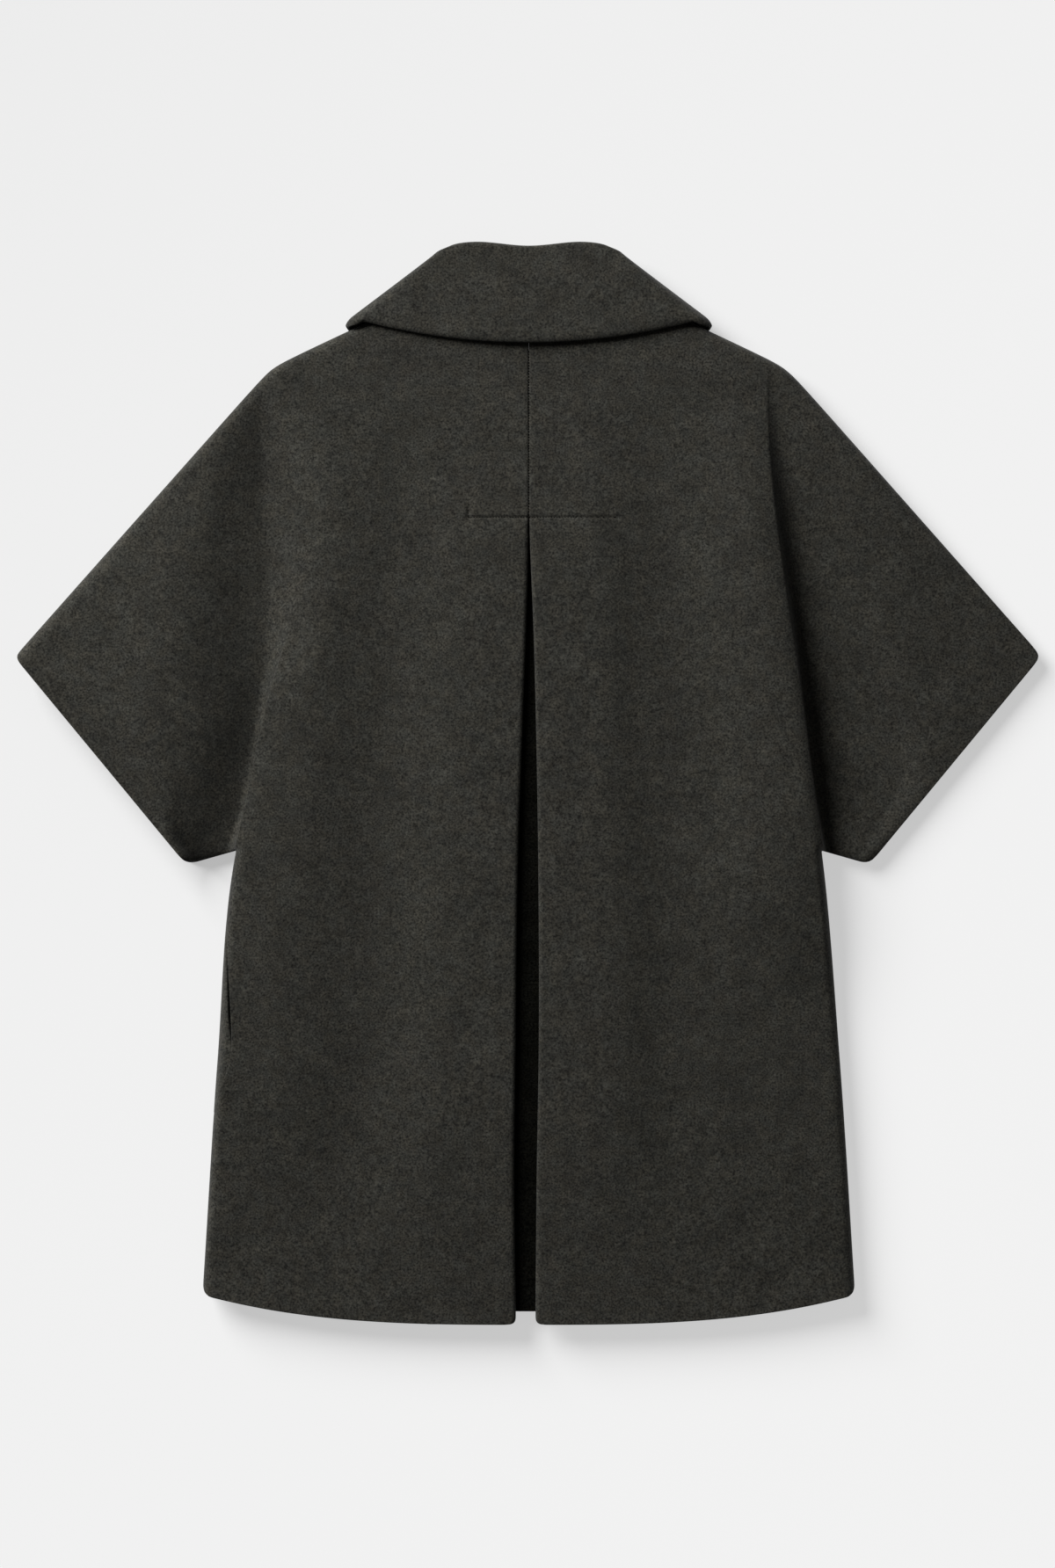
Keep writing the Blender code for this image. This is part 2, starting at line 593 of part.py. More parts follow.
def front_panel(half, collection):
    surface = Surface()
    lines = seam_lines(half)
    under = underarm_share(half)
    rows = list(FRONT_ROWS) + [under + step for step in FRONT_ROWS_BY_UNDERARM]
    under_row = len(rows)
    rows += [mix(under, 1.0, share) for share in FRONT_ROWS_TO_HEM]

    def plan_at(u, v):
        return body_plan(half, u, v, lambda y: -FRONT_LAP, front_neck_y, FRONT_HEM_Y)

    def place(plan):
        raw = front_floor(half, plan[0], plan[1])
        height, on_seam = rolled(raw, plan, lines, -SEAM_GAP / 2)
        return surface.add((half.sign * plan[0], plan[1], height), on_seam)

    body, sleeve = [], []
    for i, v in enumerate(rows):
        edge = edge_point(half, v)
        width = edge[0] + FRONT_LAP
        neck_u = (NECK_HALF + FRONT_LAP) / (half.edge[0].x + FRONT_LAP)
        centre_u = FRONT_LAP / (half.edge[0].x + FRONT_LAP)
        shares = [0.0, centre_u]
        shares += [mix(centre_u, neck_u, share) for share in NECK_COLUMNS]
        crest_u = 1.0 - EDGE_ROLL / width
        shares += [mix(neck_u, crest_u, share) for share in FRONT_COLUMNS]
        shares += [1.0 - FRONT_BROW * EDGE_ROLL / width, 1.0]
        body.append([place(plan_at(u, v)) for u in shares])
        if i <= under_row:
            line = [body[-1][-1]]
            line += [place(sleeve_plan(half, share, v)) for share in FRONT_SLEEVE_COLUMNS]
            sleeve.append(line)
    surface.patch(body)
    surface.patch(sleeve)
    return cloth_wall("front_" + half.name, surface, CLOTH, half.sign > 0, WOOL, collection)


def pocket_mouth(half, collection):
    """The strip of the pocket that shows in the side seam, from the seam to under the back's edge."""
    surface = Surface()
    lines = seam_lines(half)
    rows = []
    open_rows = [row for row in POCKET_ROWS if row.gape > 0.0]
    for y in np.linspace(open_rows[0].y, open_rows[-1].y, POCKET_STEPS):
        v = (half.edge[0].y - y) / (half.edge[0].y - SIDE_HEM[1])
        edge = edge_point(half, v)
        line = []
        for reach in POCKET_ACROSS:
            plan = edge - np.array((reach, 0.0))
            raw = body_top(half.sign * plan[0], y) - CLOTH - LAYER_GAP
            height, on_seam = rolled(raw, plan, lines, SEAM_GAP / 2)
            line.append(surface.add((half.sign * plan[0], y, height), on_seam))
        rows.append(line[::-1])
    surface.patch(rows)
    return cloth_wall("pocket_" + half.name, surface, POCKET_CLOTH, half.sign < 0, WOOL_DEEP, collection)


def beside(share):
    """How near a place round the neck is to the collar's side: 1 on it, 0 a short way off."""
    return 1.0 - smooth((1.0 - share) / COLLAR_LIP_SHARE)


def collar_ring_y(ring, x, at_back):
    share = min(abs(x) / ring.half_width, 1.0)
    lip = ring.lip * beside(share)
    if at_back:
        return mix(ring.back_y, ring.back_side_y, share ** ring.power) - lip
    return mix(ring.front_y, ring.back_side_y, share ** FRONT_RING_POWER) - lip


def collar_point(ring_width, lift, y, turn):
    """A point of the collar's middle layer, and the way out from it, at a turn round the neck."""
    around = math.sin(math.pi * turn)
    x = ring_width * around
    share = (ring_width - abs(x)) / EDGE_ROLL
    rise = quarter(share)
    aside = 1.0 - min(share, 1.0)
    at_back = abs(turn) <= 0.5
    flat_level = COLLAR_BACK_LEVEL + lift if at_back else COLLAR_FRONT_LEVEL
    z = mix(COLLAR_MID_LEVEL, flat_level, rise)
    side_normal = COLLAR_SIDE_NORMAL * aside
    out = np.array((math.copysign(side_normal[0], around), side_normal[1], rise if at_back else -rise))
    return np.array((x, y, z)), out


def collar_section(turn):
    """One section of the collar's outer face, from the fall's edge over the roll and down the stand."""
    around = math.sin(math.pi * turn)
    at_back = abs(turn) <= 0.5
    half_layers = COLLAR_LAYERS / 2
    roll_x = ROLL_RING.half_width * around
    roll_y = collar_ring_y(ROLL_RING, roll_x, at_back)
    if at_back:
        roll_y -= COLLAR_DIP * (1.0 - smooth(abs(roll_x) / COLLAR_DIP_HALF))
    fall_y = collar_ring_y(FALL_RING, FALL_RING.half_width * around, at_back)
    neck_x = NECK_HALF * around
    seam_y = (back_neck_y(neck_x) if at_back else front_neck_y(abs(neck_x))) + SEAM_GAP

    lift = mix(COLLAR_EDGE_LIFT, COLLAR_SIDE_LIFT, abs(around))
    points = []
    for share in FALL_SHARES:
        width = mix(ROLL_RING.half_width, FALL_RING.half_width, share)
        edge_turn = 1.0 - quarter((1.0 - share) / COLLAR_TURN_SHARE)
        y = mix(roll_y, fall_y, share) - COLLAR_SIDE_TURN * beside(abs(around)) * edge_turn
        point, out = collar_point(width, lift * share - COLLAR_TURN * edge_turn, y, turn)
        points.append(point + out * half_layers)
    middle, out = collar_point(ROLL_RING.half_width, 0.0, roll_y, turn)
    fall_end, _ = collar_point(FALL_RING.half_width, 0.0, fall_y, turn)
    square = (middle - fall_end)[:2]
    over = mix(np.array((0.0, 1.0)), square / np.linalg.norm(square), ROLL_LEAN)
    over = np.append(over / np.linalg.norm(over), 0.0)
    for angle in ROLL_ANGLES:
        turned = math.radians(angle)
        points.append(middle + (over * math.cos(turned) + out * math.sin(turned)) * half_layers)
    for share in STAND_SHARES:
        width = mix(ROLL_RING.half_width, NECK_HALF, share)
        point, out = collar_point(width, 0.0, mix(roll_y, seam_y, share), turn)
        aside = np.array((out[0], out[1], 0.0)) * half_layers * share
        points.append(point + aside - out * half_layers)
    return points


def collar(collection):
    surface = Surface()
    right_turns = COLLAR_BACK_TURNS + COLLAR_FRONT_TURNS
    turns = [-turn for turn in reversed(right_turns[1:])] + list(right_turns)
    sections = [[surface.add(point) for point in collar_section(turn)] for turn in turns]
    surface.patch(sections)
    return cloth_wall("collar", surface, COLLAR_CLOTH, False, WOOL, collection)


def clear_scene():
    for item in list(bpy.data.objects):
        bpy.data.objects.remove(item, do_unlink=True)


def main():
    clear_scene()
    coat = bpy.data.collections.new("short_coat")
    bpy.context.scene.collection.children.link(coat)
    for half in (LEFT, RIGHT):
        back_panel(half, coat)
        front_panel(half, coat)
    pleat_underlay(coat)
    pocket_mouth(LEFT, coat)
    collar(coat)


main()
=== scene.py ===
"""A short coat of thick felted wool, laid out face down, as it looks.

Each piece of cloth is a thin shell on the form of its solid, with finer rows, the main creases, the seams
and the stitches. Metres, in the solids' frame: +Z up from the surface that the coat lies on, +Y towards
the collar and the wearer's left at -X. A panel is worked out in its own outward x, from the coat's centre
line to the side, and then turned to its side of the coat.
"""

import math
from collections import namedtuple

import bpy
import numpy as np
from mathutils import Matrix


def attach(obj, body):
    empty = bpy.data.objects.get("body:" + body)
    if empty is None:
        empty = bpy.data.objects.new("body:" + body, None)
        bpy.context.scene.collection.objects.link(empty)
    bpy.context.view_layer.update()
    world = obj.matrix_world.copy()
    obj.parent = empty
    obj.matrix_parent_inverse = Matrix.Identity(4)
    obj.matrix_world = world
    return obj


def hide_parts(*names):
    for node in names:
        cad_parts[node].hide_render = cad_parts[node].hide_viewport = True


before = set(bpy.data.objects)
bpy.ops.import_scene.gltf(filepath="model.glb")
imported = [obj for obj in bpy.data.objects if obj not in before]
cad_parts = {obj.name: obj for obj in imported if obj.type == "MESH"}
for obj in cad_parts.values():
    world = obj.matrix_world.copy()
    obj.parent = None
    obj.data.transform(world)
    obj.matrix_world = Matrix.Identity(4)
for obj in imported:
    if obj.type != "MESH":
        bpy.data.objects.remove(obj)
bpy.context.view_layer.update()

# Cloth and the room between pieces
CLOTH = 0.0025
COLLAR_CLOTH = 0.0028
POCKET_CLOTH = 0.0018
SEAM_GAP = 0.0004
LAYER_GAP = 0.0010

# Outline of the coat as it lies
BACK_HEM_Y = -0.4310
FRONT_HEM_Y = -0.4150
SIDE_HEM = np.array((0.2610, -0.4069))
SIDE_MIDDLE = np.array((0.2488, -0.2200))
UNDERARM = np.array((0.2342, -0.0541))
SLEEVE_TIP = np.array((0.4098, 0.1021))
SLEEVE_HEEL = np.array((0.2720, -0.0645))
NECK_HALF = 0.0780
NECK_SHARES = (0.0, 0.33, 0.66, 1.0)
BACK_NECK_Y = 0.3840
FRONT_NECK_Y = 0.3120
FRONT_LAP = 0.0400
FRONT_LAP_EASE = 0.0240
CORNER_REACH = 0.0085
HEM_NEAR_SIDE = SIDE_HEM - np.array((0.0200, 0.0055))

# The overarm line is a flat shoulder slope and a steep sleeve slope, blended where they meet
SHOULDER_AT, SHOULDER_SLOPE = np.array((0.1516, 0.3582)), 0.465
SLEEVE_AT, SLEEVE_SLOPE = np.array((0.2454, 0.2882)), 1.132
SHOULDER_BLEND = 0.0025

# How the edges and the sleeve lie
EDGE_ROLL = 0.0080
SLEEVE_ARCH = 0.0015
SLEEVE_CREASE_FADE = 0.25
BANK_POWER = 1.6
UNDERARM_FADE = 0.0300

# Inverted pleat, and the seam above it
PLEAT_TOP_Y = 0.2126
UNDERLAY_HEM_Y = -0.4212
PLEAT_ROUND = CLOTH + LAYER_GAP / 2
PLEAT_REACH = 1.2 * PLEAT_ROUND
PLEAT_EASE = 0.0100
PLEAT_CORNER = 0.0052
SEAM_DIP = 0.0004
SEAM_TURN, SEAM_TURN_REACH = 0.0006, 0.0014
SEAM_MEET = -0.0001

# Stitched bar that closes the pleat, with a short upright end on the left
BAR_Y = 0.2119
BAR_LEFT, BAR_RIGHT, BAR_FAINT = -0.0480, 0.0690, 0.0375
BAR_TICK, BAR_TICK_FADE = 0.0110, 1 / 3
BAR_DIP, BAR_HALF = 0.0011, 0.0014
BAR_PUFF, BAR_PUFF_AT, BAR_PUFF_HALF = 0.0005, 0.0050, 0.0032
BAR_END_FADE = 0.0040
BAR_STRAIGHT, BAR_STRAIGHT_FADE = 0.0700, 0.0800
BAR_ROWS_FADE = 0.0700

# Thread of the bar and of the centre-back seam, whose stitches wander a little from one to the next
THREAD, STITCH, STITCH_PITCH = 0.0010, 0.0019, 0.0022
STITCH_SINK, STITCH_WANDER = 0.0001, 0.0002
BAR_UNEVEN, TICK_UNEVEN = 7.0, 5.0
SEAM_STITCH_TOP = 0.3460

# Collar
COLLAR_LAYERS = 0.0080
COLLAR_ROLL_Y = 0.4278
COLLAR_BACK_LEVEL = 0.0221
COLLAR_FRONT_LEVEL = COLLAR_LAYERS / 2
COLLAR_MID_LEVEL = (COLLAR_BACK_LEVEL + COLLAR_FRONT_LEVEL) / 2
COLLAR_EDGE_LIFT, COLLAR_SIDE_LIFT = 0.0034, 0.0016
COLLAR_TURN, COLLAR_SIDE_TURN, COLLAR_TURN_SHARE = 0.0030, 0.0040, 0.08
COLLAR_LIP_SHARE = 0.10
COLLAR_REST = 0.0050
COLLAR_REST_Y, COLLAR_REST_EASE = 0.1300, 0.1100
COLLAR_REST_X, COLLAR_REST_FADE = 0.1550, 0.0450
COLLAR_END = 0.985
COLLAR_DIP, COLLAR_DIP_HALF = 0.0035, 0.045
FRONT_RING_POWER = 1.7
COLLAR_SIDE_NORMAL = np.array((0.620, 0.784))
ROLL_LEAN = 0.58

Half = namedtuple("Half", "name sign edge fold roll_power cuff")
Edge = namedtuple("Edge", "y x roll drop dip bank lap low arm")
FoldColumn = namedtuple("FoldColumn", "at dip lap drop")
Level = namedtuple("Level", "y height")
SeamLevel = namedtuple("SeamLevel", "x height")
Swell = namedtuple("Swell", "left_top left_foot right_top right_foot y_top y_foot side height")
Crease = namedtuple("Crease", "x y turn half_length half_width height")
PleatRow = namedtuple("PleatRow", "y left right depth")
PocketRow = namedtuple("PocketRow", "y gape")
CollarRing = namedtuple("CollarRing", "half_width back_y back_side_y front_y power lip")
Cut = namedtuple("Cut", "width length area")

# From the shoulder down: the edge of the fold over the sleeve, then below the underarm the side seam.
# The body rolls down to the edge over roll and on to the low floor of a dip, from which the sleeve rises
# over bank to its own level, arm. Where lap is large the roll folds back under itself.
SIDE_SEAM = tuple(
    Edge(y, x, roll=0.012, drop=0.20, dip=0.008, bank=0.020, lap=0.0, low=0.0112, arm=0.0130)
    for x, y in (UNDERARM, SIDE_MIDDLE, SIDE_HEM)
)
LEFT_EDGE = (
    Edge(y=0.3304, x=0.206, roll=0.040, drop=0.44, dip=0.014, bank=0.060, lap=0.0, low=0.0212, arm=0.0226),
    Edge(y=0.274, x=0.191, roll=0.032, drop=0.44, dip=0.032, bank=0.088, lap=0.0, low=0.0140, arm=0.0284),
    Edge(y=0.190, x=0.185, roll=0.034, drop=0.44, dip=0.032, bank=0.098, lap=0.0, low=0.0106, arm=0.0322),
    Edge(y=0.120, x=0.192, roll=0.034, drop=0.36, dip=0.024, bank=0.090, lap=0.0, low=0.0116, arm=0.0318),
    Edge(y=0.064, x=0.209, roll=0.030, drop=0.20, dip=0.010, bank=0.076, lap=0.005, low=0.0110, arm=0.0304),
    Edge(y=-0.006, x=0.2235, roll=0.018, drop=0.2, dip=0.006, bank=0.055, lap=0.006, low=0.0112, arm=0.0236),
    *SIDE_SEAM,
)
RIGHT_EDGE = (
    Edge(y=0.3397, x=0.190, roll=0.034, drop=0.14, dip=0.014, bank=0.036, lap=0.0, low=0.0212, arm=0.0212),
    Edge(y=0.288, x=0.190, roll=0.030, drop=0.14, dip=0.026, bank=0.040, lap=0.0, low=0.0178, arm=0.0174),
    Edge(y=0.225, x=0.195, roll=0.026, drop=0.14, dip=0.034, bank=0.050, lap=0.0, low=0.0146, arm=0.0138),
    Edge(y=0.155, x=0.2045, roll=0.02, drop=0.14, dip=0.040, bank=0.064, lap=0.003, low=0.0100, arm=0.0096),
    Edge(y=0.085, x=0.2155, roll=0.014, drop=0.14, dip=0.038, bank=0.07, lap=0.008, low=0.0072, arm=0.0080),
    Edge(y=0.015, x=0.2245, roll=0.013, drop=0.14, dip=0.030, bank=0.04, lap=0.008, low=0.0066, arm=0.0080),
    *SIDE_SEAM,
)

# Past the fold's edge: shares of the dip, the lap and the rest of the drop, at places across the fold
LEFT_FOLD = (
    FoldColumn(at=0.0, dip=0.00, lap=0.00, drop=0.00),
    FoldColumn(at=0.2, dip=0.10, lap=0.40, drop=0.16),
    FoldColumn(at=0.4, dip=0.25, lap=0.95, drop=0.36),
    FoldColumn(at=0.6, dip=0.45, lap=1.00, drop=0.62),
    FoldColumn(at=0.8, dip=0.75, lap=0.45, drop=0.91),
    FoldColumn(at=1.0, dip=1.00, lap=0.00, drop=1.00),
)
RIGHT_FOLD = (
    FoldColumn(at=0.0, dip=0.00, lap=0.00, drop=0.00),
    FoldColumn(at=0.2, dip=0.10, lap=0.40, drop=0.30),
    FoldColumn(at=0.4, dip=0.25, lap=0.95, drop=0.60),
    FoldColumn(at=0.6, dip=0.45, lap=1.00, drop=0.88),
    FoldColumn(at=0.8, dip=0.75, lap=0.45, drop=0.98),
    FoldColumn(at=1.0, dip=1.00, lap=0.00, drop=1.00),
)
LEFT = Half("left", -1, LEFT_EDGE, LEFT_FOLD, roll_power=1.8, cuff=0.0286)
RIGHT = Half("right", 1, RIGHT_EDGE, RIGHT_FOLD, roll_power=3.0, cuff=0.0108)

# Height of the back's face down the coat, and of the seams outward from the neck
BODY_LEVELS = (
    Level(y=0.3900, height=0.0222),
    Level(y=0.3000, height=0.0220),
    Level(y=0.1500, height=0.0205),
    Level(y=-0.0600, height=0.0202),
    Level(y=-0.2600, height=0.0204),
    Level(y=-0.4310, height=0.0215),
)
SEAM_LEVELS = (
    SeamLevel(x=0.0780, height=0.0131),
    SeamLevel(x=0.1500, height=0.0112),
    SeamLevel(x=0.2060, height=0.0094),
    SeamLevel(x=0.2610, height=0.0085),
    SeamLevel(x=0.3300, height=0.0090),
    SeamLevel(x=0.4100, height=0.0096),
)

# Soft vertical swells of the back, left to right, by the feet of their left and right sides, which lean
SWELLS = (
    Swell(left_top=-0.260, left_foot=-0.300, right_top=-0.096, right_foot=-0.140,
          y_top=0.330, y_foot=-0.390, side=0.066, height=0.0080),
    Swell(left_top=-0.094, left_foot=-0.132, right_top=0.107, right_foot=0.130,
          y_top=0.320, y_foot=-0.425, side=0.060, height=0.0070),
    Swell(left_top=0.098, left_foot=0.125, right_top=0.300, right_foot=0.300,
          y_top=0.330, y_foot=-0.190, side=0.090, height=0.0132),
)
SWELL_ENDS = 0.24

# Creases of the back: troughs are below zero, and turn is degrees from upright towards +X
BACK_CREASES = (
    Crease(x=-0.146, y=0.150, turn=4, half_length=0.150, half_width=0.024, height=-0.0010),
    Crease(x=-0.170, y=-0.110, turn=9, half_length=0.110, half_width=0.028, height=-0.0012),
    Crease(x=0.084, y=0.080, turn=-5, half_length=0.200, half_width=0.015, height=-0.0012),
    Crease(x=0.100, y=-0.210, turn=-7, half_length=0.100, half_width=0.020, height=-0.0010),
    Crease(x=0.190, y=-0.135, turn=24, half_length=0.046, half_width=0.022, height=-0.0011),
    Crease(x=-0.092, y=-0.290, turn=12, half_length=0.090, half_width=0.028, height=0.0009),
    Crease(x=0.150, y=-0.320, turn=-14, half_length=0.085, half_width=0.030, height=0.0008),
    Crease(x=-0.214, y=-0.078, turn=62, half_length=0.034, half_width=0.010, height=-0.0008),
    Crease(x=-0.200, y=-0.108, turn=48, half_length=0.046, half_width=0.013, height=0.0008),
    Crease(x=-0.229, y=-0.164, turn=-3, half_length=0.052, half_width=0.008, height=0.0010),
    Crease(x=0.212, y=-0.086, turn=-58, half_length=0.040, half_width=0.010, height=-0.0008),
    Crease(x=0.192, y=-0.112, turn=-44, half_length=0.048, half_width=0.014, height=0.0007),
    Crease(x=-0.128, y=0.318, turn=66, half_length=0.050, half_width=0.013, height=-0.0006),
    Crease(x=0.132, y=0.312, turn=-70, half_length=0.052, half_width=0.014, height=-0.0006),
    Crease(x=-0.300, y=0.118, turn=-38, half_length=0.070, half_width=0.018, height=0.0009),
    Crease(x=-0.330, y=0.070, turn=-44, half_length=0.058, half_width=0.014, height=-0.0009),
    Crease(x=0.296, y=0.160, turn=40, half_length=0.085, half_width=0.018, height=0.0011),
    Crease(x=0.324, y=0.084, turn=46, half_length=0.060, half_width=0.016, height=-0.0009),
)

# Creases of the fronts, lifted off the surface that they lie on, in each panel's outward x
FRONT_CREASES = (
    Crease(x=0.090, y=0.060, turn=5, half_length=0.140, half_width=0.020, height=0.0016),
    Crease(x=0.150, y=-0.180, turn=-8, half_length=0.120, half_width=0.024, height=0.0018),
    Crease(x=0.205, y=-0.090, turn=-50, half_length=0.045, half_width=0.012, height=0.0012),
    Crease(x=0.215, y=0.120, turn=12, half_length=0.090, half_width=0.016, height=0.0020),
    Crease(x=0.060, y=-0.310, turn=14, half_length=0.075, half_width=0.022, height=0.0013),
    Crease(x=0.300, y=0.110, turn=38, half_length=0.070, half_width=0.016, height=0.0015),
)

# Half widths of the pleat's mouth, left and right of the centre line, and the depth turned under
PLEAT_ROWS = (
    PleatRow(y=0.2126, left=0.0003, right=0.0003, depth=0.050),
    PleatRow(y=0.2000, left=0.0003, right=0.0006, depth=0.051),
    PleatRow(y=0.1200, left=0.0022, right=0.0038, depth=0.053),
    PleatRow(y=0.0640, left=0.0043, right=0.0053, depth=0.055),
    PleatRow(y=-0.0760, left=0.0088, right=0.0076, depth=0.059),
    PleatRow(y=-0.2160, left=0.0105, right=0.0078, depth=0.063),
    PleatRow(y=-0.3000, left=0.0115, right=0.0064, depth=0.065),
    PleatRow(y=-0.4310, left=0.0102, right=0.0052, depth=0.068),
)

# How far the left back's edge stands back from the side seam along the pocket mouth
POCKET_ROWS = (
    PocketRow(y=-0.1060, gape=0.0000),
    PocketRow(y=-0.1160, gape=0.0009),
    PocketRow(y=-0.1270, gape=0.0028),
    PocketRow(y=-0.1400, gape=0.0048),
    PocketRow(y=-0.1600, gape=0.0072),
    PocketRow(y=-0.1810, gape=0.0094),
    PocketRow(y=-0.1980, gape=0.0110),
    PocketRow(y=-0.2120, gape=0.0118),
    PocketRow(y=-0.2240, gape=0.0106),
    PocketRow(y=-0.2380, gape=0.0058),
    PocketRow(y=-0.2520, gape=0.0016),
    PocketRow(y=-0.2640, gape=0.0000),
)

# The pocket's strip dives out of sight just clear of the back's edge, or at the foot is tucked under it first
POCKET_REACH, POCKET_END = 0.0180, 0.0005
POCKET_SINK, POCKET_CLEAR = 0.0002, 0.0003
POCKET_DIVE, POCKET_DIVE_LEAST, POCKET_DIVE_SHARE = 0.0020, 0.0004, 0.5
POCKET_TUCK, POCKET_TUCK_Y, POCKET_TUCK_FADE = 0.0032, -0.2240, 0.0400
POCKET_ROW_COUNT, POCKET_COLUMNS = 54, 33

# Rings of the collar, as plan curves: the roll and the fall's edge, which dips by lip at the sides
ROLL_RING = CollarRing(half_width=0.0742, back_y=COLLAR_ROLL_Y, back_side_y=0.4180, front_y=0.3300,
                       power=8.0, lip=0.0)
FALL_RING = CollarRing(half_width=0.1440, back_y=0.3504, back_side_y=0.3709, front_y=0.2450,
                       power=2.0, lip=0.0054)

# Steps of the shells' rows and columns, with finer ones beside seams, edges, bar and underarm
BACK_STEP, FRONT_STEP, UNDERLAY_STEP = 0.0085, 0.0130, 0.0090
STEP_SLACK, SAME_ROW = 0.25, 1e-9
SLEEVE_SPAN = 0.1600
SEAM_FINE = (0.0006, 0.0018, 0.0035, 0.0060, 0.0095)
BAR_FINE = (0.0007, 0.0016, 0.0032, 0.0056, 0.0090)
UNDERARM_FINE = (0.0010, 0.0030, 0.0060, 0.0100)
HEM_FINE = (0.0008, 0.0026, 0.0060)
CORNER_FINE = (0.0008, 0.0018, 0.0032, 0.0056, 0.0085)
SEAM_STEPS = 60
EDGE_TURNS = np.radians((90.0, 74.0, 58.0, 42.0, 26.0, 12.0))
ROLL_COLUMNS = np.array((0.22, 0.42, 0.58, 0.72, 0.84, 0.93, 1.0))
FOLD_STEPS, BANK_STEPS, RETURN_STEPS = 11, 8, 8
COLLAR_SECTIONS, COLLAR_SIDE_PACK = 150, 0.10
FALL_FINE = (0.004, 0.012, 0.025, 0.042, 0.062, 0.085)
FALL_STEP = 0.085
ROLL_TURNS = np.radians(np.linspace(72.0, -72.0, 9))
STAND_STEPS = 7

# Flat cuts: the panels' own areas on the pattern, in a width and a length that hold them
UNDERLAY_CUT = Cut(width=0.155, length=0.632, area=0.0860)


def mix(start, end, share):
    return start + (end - start) * share


def smooth(share):
    share = np.clip(share, 0.0, 1.0)
    return share * share * (3.0 - 2.0 * share)


def bank_rise(share):
    """A rise that is steepest in its lower half and ends level."""
    return (smooth(share) + 1.0 - (1.0 - share) ** BANK_POWER) / 2


def quarter(share):
    """A quarter round: 0 at a seam, 1 where the cloth lies flat."""
    return np.sqrt(1.0 - (1.0 - np.clip(share, 0.0, 1.0)) ** 2)


def read(rows, column, at, along="y"):
    """A table's column at places along it, on a smooth curve through its rows."""
    rows = sorted(rows, key=lambda row: getattr(row, along))
    places = np.array([getattr(row, along) for row in rows])
    values = np.array([getattr(row, column) for row in rows])
    slopes = np.gradient(values, places)
    at = np.clip(at, places[0], places[-1])
    low = np.clip(np.searchsorted(places, at) - 1, 0, len(places) - 2)
    width = places[low + 1] - places[low]
    t = (at - places[low]) / width
    return (
        (1 + 2 * t) * (1 - t) ** 2 * values[low]
        + t * (1 - t) ** 2 * width * slopes[low]
        + t * t * (3 - 2 * t) * values[low + 1]
        + t * t * (t - 1) * width * slopes[low + 1]
    )


def graded(landmarks, step):
    """Shares from 0 to 1 in even steps, with the finer ones that each landmark lists on both its sides."""
    places = {0.0, 1.0}
    for place, fine in landmarks:
        places |= {place} | {place + reach for reach in fine} | {place - reach for reach in fine}
    places = sorted(share for share in places if 0.0 <= share <= 1.0)
    shares = [places[0]]
    for share in places[1:]:
        count = max(math.ceil((share - shares[-1]) / step - STEP_SLACK), 1)
        shares += list(np.linspace(shares[-1], share, count + 1)[1:])
    return np.array(shares)


def scaled(fine, length):
    return [reach / length for reach in fine]


def spot(x, y):
    return np.stack(np.broadcast_arrays(x, y), axis=-1)


def overarm_y(x):
    shoulder = SHOULDER_AT[1] - SHOULDER_SLOPE * (x - SHOULDER_AT[0])
    sleeve = SLEEVE_AT[1] - SLEEVE_SLOPE * (x - SLEEVE_AT[0])
    return (shoulder + sleeve) / 2 - np.hypot((shoulder - sleeve) / 2, SHOULDER_BLEND)


def neck_y(x, middle_y):
    drawn = [mix(middle_y, overarm_y(NECK_HALF), share ** 2) for share in NECK_SHARES]
    return np.interp(x / NECK_HALF, NECK_SHARES, drawn)


def hem_y(x, middle_y):
    """A hem rises from its middle to the side seam, slowly at first."""
    return mix(middle_y, SIDE_HEM[1], (np.abs(x) / SIDE_HEM[0]) ** 3)


def eased(points, behind, corner, onward):
    """Points of an edge that comes from behind, drawn in where the edge turns a soft corner to the next."""
    reach = np.linalg.norm(points - corner, axis=-1, keepdims=True)
    t = 0.5 * (1.0 - np.minimum(reach / CORNER_REACH, 1.0))
    back = (behind - corner) / np.linalg.norm(behind - corner) * CORNER_REACH
    ahead = (onward - corner) / np.linalg.norm(onward - corner) * CORNER_REACH
    return np.where(reach < CORNER_REACH, corner + (1.0 - t) ** 2 * back + t * t * ahead, points)


def edge_point(half, v):
    y = mix(half.edge[0].y, SIDE_HEM[1], v)
    return spot(read(half.edge, "x", y), y)


def side_corner_rounded(points):
    """Points near the corner of hem and side seam, drawn in from both so that the corner is a soft round."""
    ways = np.stack((HEM_NEAR_SIDE - SIDE_HEM, UNDERARM - SIDE_HEM))
    ways = ways / np.linalg.norm(ways, axis=1, keepdims=True)
    near = np.clip(1.0 - (points - SIDE_HEM) @ np.linalg.inv(ways) / CORNER_REACH, 0.0, 1.0)
    drawn = near * (1.0 - np.sqrt(1.0 - near[..., ::-1] ** 2 / 2))
    return points + CORNER_REACH * drawn @ ways


def underarm_share(half):
    return (half.edge[0].y - UNDERARM[1]) / (half.edge[0].y - SIDE_HEM[1])


def coons(u, v, left, right, top, bottom):
    """Plan points of a four-sided patch at u across and v down it."""
    u, v = np.broadcast_arrays(u, v)
    across, down = u[..., None], v[..., None]
    zero, one = np.zeros(1), np.ones(1)
    upper = (1 - across) * top(zero) + across * top(one)
    lower = (1 - across) * bottom(zero) + across * bottom(one)
    ruled = (1 - across) * left(v) + across * right(v) + (1 - down) * top(u) + down * bottom(u)
    return ruled - (1 - down) * upper - down * lower


